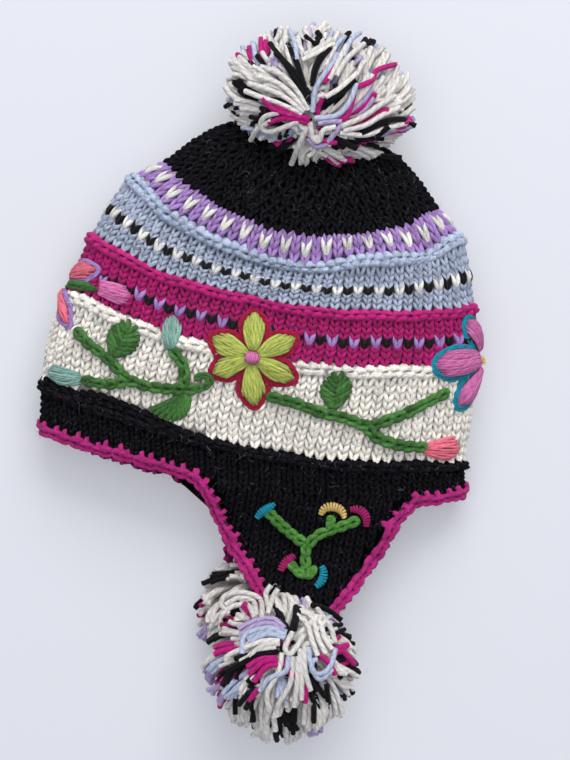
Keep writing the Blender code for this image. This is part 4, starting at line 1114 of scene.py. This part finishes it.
# bundles that show on top: yarn, spots in mm from the tie across and up the picture, mm above the dome
TOP_YARN = [
    (3, [(0.7, 2), (2.2, 14), (6.7, 22), (12, 29), (14.5, 35)], 1.0),
    (3, [(2, -1.5), (14, 0), (21, 7), (25.5, 18)], 1.0),
    (3, [(-8, 31), (-9, 41), (-12, 50)], 0.5),
    (3, [(18, 33), (22, 43), (28, 50)], 0.5),
    (2, [(-1, -2), (-13, 1), (-21, 4), (-27, 10)], 1.2),
    (2, [(-1, -4), (-14, -1), (-24, -3)], 0.9),
    (2, [(-2, -1), (-13, 3), (-20, 6)], 0.3),
    (2, [(12, -2), (19, -1), (22, 5), (24, 12)], 0.0),
    (2, [(26, 16), (34, 20), (37, 26), (48, 31)], 0.8),
    (2, [(7, 18), (11, 24), (14, 30)], 0.6),
    (0, [(-1.5, 3), (-8, 14), (-17, 23), (-28, 28)], 1.4),
    (0, [(-3, 3), (-11, 12), (-20, 19), (-32, 23)], 1.0),
    (0, [(-4, 2), (-14, 10), (-24, 15), (-35, 19)], 0.8),
    (0, [(-5, 1), (-17, 7), (-28, 11), (-37, 15)], 0.6),
    (1, [(-1, 6), (-7, 16), (-13, 27), (-23, 42)], 0.7),
    (1, [(-1, 8), (-5, 20), (-8, 30), (-13, 41)], 0.5),
    (1, [(0.5, 18), (4, 29), (11, 39)], 0.8),
    (1, [(1, 16), (2, 26), (7, 37)], 0.3),
    (1, [(8, 8), (17, 13), (24, 22)], 0.2),
    (1, [(-4, 5), (-15, 8), (-26, 10)], 0.1),
    (1, [(-1, 12), (-9, 24), (-20, 36)], 0.4),
    (0, [(-2, -6), (-6, -14), (-11, -25)], 1.6),
    (0, [(-0.5, -4), (1, -12), (4.5, -13.5), (7, -8), (14, -6)], 1.8),
    (4, [(-1.5, -12), (2, -16), (8, -15.5), (12, -11), (17, -5)], 1.4),
    (4, [(4, -4), (10, -3), (17, -3)], 0.8),
    (0, [(-7, -3), (-22, -8), (-28, -5), (-26, 0), (-18, 2)], 1.2),
    (0, [(-22, -2), (-30, -6), (-34, -11)], 0.8),
    (0, [(16, -6), (28, -1), (38, 6), (47, 12)], 1.2),
    (0, [(18, -8), (30, -5), (40, 1), (50, 6)], 1.2),
    (0, [(16, -9), (30, -10), (42, -6), (54, -2)], 0.8),
    (1, [(28, -10), (40, -3), (52, 0), (60, -3)], 0.6),
    (1, [(40, -20), (52, -21)], 0.4),
    (0, [(8, 10), (16, 15), (26, 24)], 1.0),
    (0, [(10, 20), (15, 30), (20, 40)], 0.9),
    (0, [(14, 22), (20, 32), (30, 42)], 0.7),
    (0, [(-4, 34), (4, 38), (12, 44)], 1.1),
    (0, [(-5, 31), (3, 35), (13, 41)], 1.2)]
LEFT_YARN = [
    (0, [(-12, 14), (-13, 23), (-23, 27), (-33, 25), (-35, 20), (-31, 15)], 2.2),
    (0, [(-16, 14), (-20, 20), (-29, 19), (-35, 14)], 2.4),
    (0, [(-15, 15), (-17, 22), (-25, 24), (-33, 20)], 2.0),
    (4, [(0.7, 9), (-6, 14), (-16, 12.5), (-25, 8)], 1.8),
    (4, [(0, 7), (-7, 11.5), (-16, 10), (-24, 5)], 1.8),
    (3, [(1, 5), (-6, 9), (-15, 8), (-22, 4), (-23, -5)], 2.2),
    (3, [(1, 4), (-9, 6), (-19, 1.5)], 2.0),
    (3, [(2, 7), (-4, 8), (-13, 6), (-20, 3)], 1.6),
    (0, [(-2, 1), (-11, 0), (-19, -6)], 1.8),
    (0, [(-2, 2.5), (-12, 2), (-24, -3), (-30, -6)], 1.4),
    (0, [(-4, -1), (-14, -3), (-24, -9)], 1.2),
    (2, [(-3, -8), (-11, -9), (-19, -16)], 1.8),
    (2, [(-3, -10), (-10, -12), (-16, -20)], 1.6),
    (2, [(-4, -6.5), (-12, -7), (-20, -12)], 1.4),
    (1, [(-4, -4), (-16, -6), (-25, -11), (-32, -15)], 1.2),
    (1, [(-3, -3), (-15, -4.5), (-27, -8)], 1.0),
    (3, [(3, -6), (1, -14), (-8, -18), (-13, -25)], 2.2),
    (0, [(-0.7, -4), (-3, -15), (-9, -26), (-8, -36)], 1.6),
    (0, [(5, -6), (4, -20), (-3, -33)], 1.4),
    (0, [(8, -6), (7.5, -21), (6, -34)], 1.8),
    (0, [(11.5, -1), (12, -14), (15, -25)], 1.8),
    (0, [(9, -2), (10, -16), (10, -30)], 1.4),
    (0, [(9, 18), (16, 14), (19, 4), (23.5, -5)], 1.8),
    (0, [(11, 18), (20, 12), (23, 3), (27, -3)], 1.6),
    (0, [(7, 16), (13, 11), (16, 2), (19, -6)], 2.0),
    (0, [(19, 18), (26, 9), (29, 0)], 1.4),
    (0, [(5, 7), (1, -1), (3.5, -4.5), (7, -1), (11, 5)], 2.6),
    (1, [(7, 20), (6.5, 15), (4.5, 8)], 2.2),
    (1, [(16, 20), (25, 17), (33, 11)], 1.4),
    (1, [(9, 19), (7, 12), (6, 8)], 1.6),
    (3, [(29, -3), (26, -12), (21, -16), (16, -14), (16, -9), (18.5, -8)], 2.0),
    (3, [(14, -2), (15, -10), (20, -19), (27, -14)], 1.4),
    (2, [(20, -6), (25, -10), (29, -17)], 0.8),
    (2, [(33, -4), (37, -9), (40, -13)], 0.8),
    (2, [(13, -22), (12, -32)], 0.8),
    (2, [(-14, -24), (-19, -31)], 0.9),
    (1, [(-17, -28), (-21, -36)], 0.6),
    (1, [(-19, -26), (-25, -34)], 0.6),
    (1, [(17, -34), (17, -44)], 0.6),
    (1, [(24, -22), (25, -32)], 0.8),
    (0, [(-9, 16), (-6, 24), (-3, 29)], 1.6),
    (0, [(-8, 18), (-10, 26), (-7, 31)], 1.2)]
# middle, half sizes and tie in metres, strands of yarn
pompom("pompom_top", (0.0015, 0.2100, 0.0345), (0.0545, 0.0405, 0.0345), (-0.0010, 0.1950, 0.0520), 850, 31,
       TOP_YARN)
pompom("pompom_left", (0.0370, -0.1150, 0.0385), (0.0435, 0.0415, 0.0385), (0.0350, -0.0980, 0.0670), 850, 32,
       LEFT_YARN)
pompom("pompom_right", (0.0135, -0.0890, 0.0150), (0.0325, 0.0320, 0.0180), (0.0190, -0.0830, 0.0100), 320,
       33)


# Embroidery. Soft single-ply wool threads 1.6 mm thick laid over the knitting, positions in mm: stitches are
# 5.95 mm and rows 3.96 mm. Satin stitch fills petals and buds, fishbone stitch the leaves, chain stitch the
# vines; flowers are outlined with two strands.
soft_face, soft_out = cloth(wale_line, row_line, BEDDED + 0.0003, with_ridge=False)
soft_face = soft_face + soft_out * (ridge(row_line) * 0.5)[:, None, None]


def on_hat(spots):
    """Points on the hat from mm across, mm up and mm off the cloth."""
    spots = np.array(spots, float)
    column = np.clip((spots[:, 0] / PITCH[0] - wale_line[0]) / 0.5, 0, len(wale_line) - 2)
    level = np.clip((spots[:, 1] / PITCH[1] - row_line[0]) / 0.25, 0, len(row_line) - 2)
    i, j = level.astype(int), column.astype(int)
    v, u = (level - i)[:, None], (column - j)[:, None]
    found = []
    for grid in (soft_face, soft_out):
        found.append((grid[i, j] * (1 - u) + grid[i, j + 1] * u) * (1 - v)
                     + (grid[i + 1, j] * (1 - u) + grid[i + 1, j + 1] * u) * v)
    return found[0] + found[1] * spots[:, 2:] / 1000


left_table = flap_levels(LEFT_LEVELS, LEFT_WALES)


def on_flap(spots):
    """Points on the left flap from plan x and y and height off the cloth, all mm."""
    spots = np.array(spots, float)
    x, y, lift = (spots / 1000).T
    place = np.interp(-y, -left_table[:, 0], range(len(left_table)))
    left, right, *heights = (np.interp(place, range(len(left_table)), left_table[:, k]) for k in range(1, 6))
    return np.stack([x, y, bowed((x - left) / (right - left), *heights) + lift], 1)


def swell(t, foot):
    """Width of a petal along its length, 1 at the widest."""
    belly = np.sin(np.pi * (np.asarray(t) * 0.82 + 0.001) ** 1.15) ** 0.75
    return foot * (1 - t) + (1 - foot * (1 - t)) * belly


def axis_of(base, tip):
    """Start, run and sideways direction of a petal or leaf."""
    base, tip = np.array(base, float), np.array(tip, float)
    run = tip - base
    return base, run, np.array([-run[1], run[0]]) / np.linalg.norm(run)


def satin(place, base, tip, half, count, rise, low=2.3, thick=0.85, foot=0.25, seed=0, blunt=0.3):
    """Petal of threads from base to tip, domed, its outer threads shorter."""
    base, run, side = axis_of(base, tip)
    luck = np.random.RandomState(seed)
    lines = []
    for k in range(count):
        u = -1 + 2 * (k + 0.5) / count
        end = 1 - blunt * abs(u) ** 2.2 + luck.normal() * 0.014
        t = np.linspace(0, end, 10)
        wave = luck.normal() * 0.28 * np.sin(t * 7 + luck.random_sample() * 6)
        flat = base + run * t[:, None] + side * (u * half * swell(t, foot) + wave)[:, None]
        lift = low + rise * (1 - 0.7 * u * u) * np.sin(np.pi * t / end) ** 0.5 + luck.normal() * 0.12
        lift[0] = low - 1.6
        lift[-1] = low - 1.2
        widths = np.full(10, thick / 1000)
        widths[0] *= 0.75
        widths[-1] *= 0.8
        # painted shade: darker at both ends where the thread dives into the cloth, times a random tone for
        # each thread
        shade = np.clip(0.35 + 1.4 * np.sin(np.pi * t / end), 0, 1) * (0.80 + 0.2 * luck.random_sample())
        lines.append((place(np.column_stack([flat, lift])), widths, 0, luck.random_sample(), shade))
    return lines


def contour(base, tip, half, off, foot=0.25, blunt=0.3):
    """Line round a petal at a distance from its threads."""
    base, run, side = axis_of(base, tip)
    length = np.linalg.norm(run)
    ahead = run / length
    spots = []
    for turn in (-1, 1):
        flank = [(t * length, turn * (half * swell(t, foot) + off)) for t in (0.10, 0.3, 0.5, 0.68)]
        if turn < 0:
            spots += flank
            continue
        spots += [(length * (1 - blunt * abs(u) ** 2.2) + off * (1 - 0.3 * abs(u)),
                   u * (half * 0.92 + off * 0.7)) for u in (-0.8, -0.4, 0, 0.4, 0.8)]
        spots += flank[::-1]
    return np.array([base + ahead * a + side * b for a, b in spots])


def strand_line(place, spots, lift, thick, yarn=0, tone=0.5, shade=0.9, waver=0.0):
    """One thread along spots in mm."""
    flat = smooth_line(spots, 4)
    lifts = np.full(len(flat), float(lift)) + waver * np.sin(np.arange(len(flat)) * 1.9)
    lifts[0] -= 1.2
    lifts[-1] -= 1.2
    return place(np.column_stack([flat, lifts])), thick / 1000, yarn, tone, shade


def outline(place, base, tip, half, yarn, offs=(1.0, 2.3), **shape):
    """Two strands round a petal."""
    return [strand_line(place, contour(base, tip, half, off, **shape), 2.0 - 0.3 * k, 0.95, yarn,
                        0.35 + 0.4 * k, waver=0.12) for k, off in enumerate(offs)]


def chain_stitch(place, spots, width=1.7, pitch=6.2, thick=1.62, seed=0):
    """Chain of plump links along a line in mm."""
    low = 2.6
    luck = np.random.RandomState(seed)
    line = smooth_line(spots, 8)
    walked = walk(line)
    count = max(2, int(round(walked[-1] / pitch)))
    step = walked[-1] / count
    lines = []
    for k in range(count):
        for turn in (-1, 1):
            places = (k + np.array([-0.20, 0.12, 0.45, 0.80, 1.12, 1.30]) + 0.07 * turn) * step
            ahead = points_at(line, walked, places + 0.4) - points_at(line, walked, places - 0.4)
            ahead /= np.linalg.norm(ahead, axis=1, keepdims=True) + 1e-9
            off = np.array([-0.15, 0.55, 1.0, 0.95, 0.35, -0.3]) * width * turn * (1 + luck.normal() * 0.1)
            aside = np.stack([-ahead[:, 1], ahead[:, 0]], 1) * off[:, None]
            spots_flat = points_at(line, walked, places) + aside
            lift = low + np.array([-1.5, 0.0, 0.8, 1.0, 0.5, -1.0]) + luck.normal() * 0.15 + 0.2 * turn
            flat = smooth_line(np.column_stack([spots_flat, lift]), 3)
            # painted shade: darker at both ends of each link where it dives into the cloth
            shade = np.interp(np.linspace(0, 1, len(flat)), (0, 0.2, 0.7, 1), (0.3, 0.8, 1.0, 0.55))
            lines.append((place(flat), thick / 1000, 0, luck.random_sample(), shade))
    return lines


def fishbone(place, base, tip, half, count, seed=0):
    """Leaf of slanting stitches to both sides of its rib."""
    low, thick = 2.4, 1.62
    base, run, side = axis_of(base, tip)
    luck = np.random.RandomState(seed)
    lines = []
    for k in range(count):
        share = k / (count - 1)
        for turn in (-1, 1):
            start = base + run * (0.02 + 0.62 * share) - side * turn * 0.5
            reach = math.sin(math.pi * (0.16 + 0.74 * share)) ** 0.8
            end = base + run * (0.24 + 0.76 * share) + side * turn * half * reach * (1 - 0.25 * share)
            t = np.linspace(0, 1, 6)[:, None]
            flat = start + (end - start) * t
            bulge = np.sin(np.pi * t[:, 0]) ** 0.6
            lift = low - 0.8 + 1.5 * bulge + luck.normal() * 0.15
            # painted shade: each stitch darker toward its ends, lightest where it bulges highest
            lines.append((place(np.column_stack([flat, lift])), thick / 1000 * (0.8 + 0.2 * bulge), 0,
                          luck.random_sample(), 0.5 + 0.5 * bulge))
    return lines


def coils(place, spots, radius, low, thick=0.74, pitch=1.52, swell_ends=0.25, seed=0):
    """Thread wrapped tightly round a line, as a bullion knot."""
    luck = np.random.RandomState(seed)
    line = smooth_line(spots, 8)
    walked = walk(line)
    lines = []
    for at in np.arange(pitch / 2, walked[-1], pitch):
        spot, after, before = (points_at(line, walked, at + step) for step in (0, 0.3, -0.3))
        ahead = (after - before) / np.linalg.norm(after - before)
        side = np.array([-ahead[1], ahead[0]])
        size = radius * (swell_ends + (1 - swell_ends) * math.sin(math.pi * at / walked[-1]) ** 0.5)
        turn = np.linspace(-0.3, 2 * math.pi - 0.2, 15)
        flat = spot + side * (size * np.cos(turn))[:, None]
        flat += ahead * ((turn / 6.283 - 0.5) * pitch * 0.4)[:, None]
        lift = low + size * np.sin(turn)
        # painted shade: lighter on the upper half of each turn, darker on the lower half
        lines.append((place(np.column_stack([flat, lift])), thick / 1000, 0, luck.random_sample(),
                      np.clip(0.6 + 0.4 * np.sin(turn), 0, 1)))
    return lines


def chart(*spots):
    """Chart positions (stitch, row) in mm."""
    return np.array(spots, float) * PITCH


RED, PINK, CORAL = (0.400, 0.007, 0.048), (0.780, 0.200, 0.480), (0.920, 0.190, 0.270)
GREEN, FRESH_GREEN, LIME = (0.062, 0.185, 0.040), (0.085, 0.270, 0.045), (0.530, 0.590, 0.125)
MINT, ORCHID, GOLD = (0.290, 0.500, 0.430), (0.640, 0.165, 0.410), (0.860, 0.600, 0.200)
TEAL, KNOT_TEAL, KNOT_MAGENTA = (0.006, 0.270, 0.380), (0.004, 0.340, 0.470), (0.420, 0.010, 0.145)
green = wool("thread_green", [GREEN], dark=0.75, spread=0.7, mottle=1.5)
fresh_green = wool("thread_green_fresh", [FRESH_GREEN], dark=0.65, spread=0.45, mottle=1.3)
lime = wool("thread_lime", [LIME], twist=0.4, dark=0.62, spread=0.3)
red = wool("thread_red", [RED], dark=0.5)
pink = wool("thread_pink", [PINK], twist=0.4, dark=0.55)
mint = wool("thread_mint", [MINT], twist=0.4, dark=0.5)
coral = wool("thread_coral", [CORAL, LAVENDER], twist=0.4, dark=0.55)
orchid = wool("thread_orchid", [ORCHID, TEAL], twist=0.4, dark=0.55)
teal = wool("thread_teal", [KNOT_TEAL], ply=0.1, dark=0.6)
gold = wool("thread_gold", [GOLD], ply=0.1, dark=0.5)
magenta = wool("thread_magenta", [KNOT_MAGENTA], ply=0.1, dark=0.6)


# Lime flower. Six blunt petals of lime satin stitch round a pink knot, each outlined twice in red. It hides
# part of the ridge between the cream and the magenta band. Petals 11 to 13 mm wide, raised 3 to 6 mm.
LIME_MIDDLE = chart((-1.2, 19.2))[0]
# tip of each petal (stitch, row) and its half width in mm
LIME_PETALS = [((-1.8, 26.2), 6.0), ((-5.0, 20.8), 6.6), ((-4.1, 16.0), 6.0), ((0.0, 12.7), 6.2),
               ((2.8, 17.0), 5.6), ((2.1, 23.2), 6.2)]
petal_lines, edge_lines = [], []
for number, (tip, half) in enumerate(LIME_PETALS):
    tip = chart(tip)[0]
    base = LIME_MIDDLE + (tip - LIME_MIDDLE) * 0.10
    petal_lines += satin(on_hat, base, tip, half - 0.3, 8, 2.6, low=3.0, thick=1.02, foot=0.16,
                         seed=40 + number)
    edge_lines += outline(on_hat, base, tip, half - 0.3, 0, foot=0.16)
threads("lime_flower_petals", petal_lines, lime, "lime_flower")
threads("lime_flower_outline", edge_lines, red, "lime_flower_edge")
knot = [LIME_MIDDLE + (-3.4, 0.3), LIME_MIDDLE + (3.4, -0.3)]
threads("lime_flower_middle", coils(on_hat, knot, 3.0, 5.4, thick=0.62, pitch=1.05, swell_ends=0.35), pink,
        "lime_flower_knot")


# Leaves and buds. Two green leaves in fishbone stitch and a fan-shaped one, two mint buds, a pink and a coral
# one, and a small green leaf at the left edge, all raised 2 to 3 mm.
for name, base, tip, half, seed in (("leaf_left", (-13.1, 14.2), (-12.2, 19.3), 9.6, 1),
                                    ("leaf_right", (6.9, 13.6), (6.5, 18.8), 8.8, 2)):
    threads(name + "_threads", fishbone(on_hat, *chart(base, tip), half, 7, seed=seed), green, name)
fan = []
fan_tips = [(-8.9, 9.0), (-8.6, 8.6), (-8.1, 8.3), (-7.5, 8.2), (-6.9, 8.4), (-6.4, 8.8), (-6.0, 9.4),
            (-5.8, 10.3)]
for number, tip in enumerate(fan_tips):
    root, tip = chart((-6.1, 12.4), tip)
    bend = (root + tip) / 2 + (1.1, 0.6)
    fan.append(strand_line(on_hat, [root, bend, tip], 3.0 - 0.05 * number, 1.75, 0, 0.15 + 0.1 * number,
                           0.95))
threads("leaf_low_threads", fan, green, "leaf_low")

# base and tip (stitch, row), half width in mm, threads, rise in mm
for name, base, tip, half, count, rise, shape, material, slot_name in (
        ("mint_bud_side", (-15.7, 9.8), (-19.3, 8.4), 5.2, 8, 2.2,
         {"foot": 0.5, "blunt": 0.26, "seed": 3}, mint, "thread_mint"),
        ("mint_bud_top", (-8.4, 17.4), (-9.0, 22.3), 5.0, 8, 2.2,
         {"foot": 0.35, "blunt": 0.34, "thick": 0.98, "seed": 4}, mint, "thread_mint"),
        ("pink_bud", (-16.5, 22.0), (-13.2, 22.6), 5.8, 9, 2.6,
         {"foot": 0.7, "blunt": 0.28, "seed": 5}, pink, "thread_pink"),
        ("coral_bud", (15.3, 9.0), (19.2, 8.8), 6.5, 9, 2.8,
         {"foot": 0.22, "blunt": 0.25, "seed": 6}, coral, "thread_coral"),
        ("coral_leaf", (-20.6, 20.0), (-16.6, 21.5), 2.6, 4, 1.2,
         {"foot": 0.7, "thick": 0.95, "seed": 7}, green, "thread_green")):
    threads(name + "_threads", satin(on_hat, *chart(base, tip), half, count, rise, **shape), material, name)


# Flowers at the edges. Two coral petals outlined in lavender at the left, and three orchid petals outlined
# in teal at the right, with a gold knot between them.
for name, base, tip, half, count, rise, seed in (
        ("coral_petal_upper", (-21.0, 21.2), (-17.3, 24.2), 4.6, 8, 2.0, 8),
        ("coral_petal_lower", (-21.2, 19.2), (-18.0, 15.8), 3.0, 6, 1.8, 9)):
    base, tip = chart(base, tip)
    threads(name + "_threads", satin(on_hat, base, tip, half, count, rise, foot=0.4, seed=seed)
            + outline(on_hat, base, tip, half, 1, offs=(1.0, 2.2)), coral, name)
for name, base, tip, half, seed in (("orchid_petal_middle", (20.4, 19.9), (15.3, 19.9), 7.3, 10),
                                    ("orchid_petal_upper", (20.7, 20.9), (18.6, 26.4), 5.4, 11),
                                    ("orchid_petal_lower", (20.6, 18.8), (18.2, 14.3), 5.2, 12)):
    base, tip = chart(base, tip)
    petal = satin(on_hat, base, tip, half, 11, 2.8, low=2.8, thick=0.98, foot=0.3, seed=seed, blunt=0.2)
    petal += outline(on_hat, base, tip, half, 1, offs=(0.8, 2.2), foot=0.3, blunt=0.2)
    threads(name + "_threads", petal, orchid, name)
orchid_spot = chart((20.5, 19.8))[0]
knot = [orchid_spot + (-0.8, -2.2), orchid_spot + (-0.8, 2.2)]
threads("orchid_knot_threads", coils(on_hat, knot, 2.0, 3.9, thick=0.6, pitch=1.0, swell_ends=0.4), gold,
        "orchid_knot")


# Vines. Green chain stitch, links 6 mm long of thread 3 mm thick, that joins the leaves and buds of the cream
# band; one more in a brighter green branches over the left flap.
vine = chain_stitch(on_hat, chart((-15.5, 9.8), (-13.8, 10.3), (-12.6, 10.8), (-11.1, 11.9), (-9.5, 12.0),
                                  (-7.9, 12.3), (-6.5, 12.8), (-5.3, 13.2)), seed=1)
vine += chain_stitch(on_hat, chart((-5.3, 13.2), (-4.5, 13.9), (-4.2, 14.9), (-4.9, 15.4), (-5.5, 14.7)),
                     width=1.1, pitch=4.0, thick=1.15, seed=2)
vine += chain_stitch(on_hat, chart((-17.0, 15.7), (-15.6, 14.7), (-14.3, 14.2), (-12.9, 13.4), (-12.0, 12.6),
                                   (-11.2, 12.0)), seed=3)
vine += chain_stitch(on_hat, chart((-8.3, 17.6), (-7.5, 16.8), (-6.7, 15.7), (-6.3, 13.2)), seed=4)
threads("vine_left_chain", vine, green, "vine_left")
vine = chain_stitch(on_hat, chart((1.0, 14.3), (3.4, 13.9), (5.7, 13.1), (7.8, 12.7), (9.8, 11.9),
                                  (11.2, 12.3), (13.2, 13.6), (15.3, 15.2), (16.7, 16.1)), seed=5)
vine += chain_stitch(on_hat, chart((9.8, 11.9), (11.2, 10.3), (13.5, 9.4), (15.6, 9.2)), seed=6)
threads("vine_right_chain", vine, green, "vine_right")

vine = chain_stitch(on_flap, [(37.3, -43.5), (26.4, -37.2), (13.2, -28.5)], seed=7)
vine += chain_stitch(on_flap, [(39.2, -44.5), (43.5, -38.0), (53.0, -31.5), (65.2, -24.6)], seed=8)
vine += chain_stitch(on_flap, [(38.6, -43.0), (39.6, -52.0), (41.5, -61.5)], seed=9)
vine += chain_stitch(on_flap, [(41.2, -61.5), (36.0, -59.5), (31.5, -55.5)], width=1.2, seed=10)
vine += chain_stitch(on_flap, [(41.2, -61.0), (44.5, -59.5), (45.4, -56.0)], width=1.0, pitch=3.6, seed=11)
vine += chain_stitch(on_flap, [(49.8, -31.5), (50.2, -25.5)], width=1.1, pitch=3.4, seed=12)
threads("vine_flap_chain", vine, fresh_green, "vine_flap")


# Knots on the left flap. Five bullion knots, curved, 15 to 20 mm long and 4 mm thick, the thread wound in
# close turns: two teal, one gold and two magenta.
for name, spots, material, slot_name in (
        ("teal_knot_upper", [(8.0, -33.4), (10.5, -29.5), (12.8, -27.4), (16.4, -23.6)], teal, "thread_teal"),
        ("gold_knot", [(43.6, -25.0), (45.6, -20.6), (50.2, -19.2), (55.0, -20.6), (57.4, -24.4)], gold,
         "thread_gold"),
        ("magenta_knot_upper", [(59.8, -19.0), (65.0, -18.4), (69.4, -21.8), (70.6, -27.8)], magenta,
         "thread_magenta"),
        ("magenta_knot_lower", [(33.0, -50.9), (30.0, -54.0), (27.6, -58.0), (26.6, -61.6)], magenta,
         "thread_magenta"),
        ("teal_knot_lower", [(49.4, -54.2), (51.4, -58.0), (50.8, -62.8), (48.0, -66.4)], teal,
         "thread_teal")):
    threads(name + "_coils", coils(on_flap, spots, 2.0, 3.4, seed=len(name)), material, name)


# Floor. A plain pale table, a little bluish and lit from below, so that the shadows stay as weak as in the
# photo.
floor = mesh_object("floor", [(-3, -3, 0), (3, -3, 0), (3, 3, 0), (-3, 3, 0)], [(0, 1, 2, 3)])
paper = bpy.data.materials.new("table")
paper.use_nodes = True
for label, value in (("Base Color", (0.395, 0.402, 0.438, 1)), ("Emission Color", (0.95, 0.96, 1.0, 1)),
                     ("Emission Strength", 0.27), ("Roughness", 0.7)):
    paper.node_tree.nodes["Principled BSDF"].inputs[label].default_value = value
floor.data.materials.append(paper)

for item in (hat_sheet, knit_stitch, purl_stitch, hair):
    bpy.data.objects.remove(item)
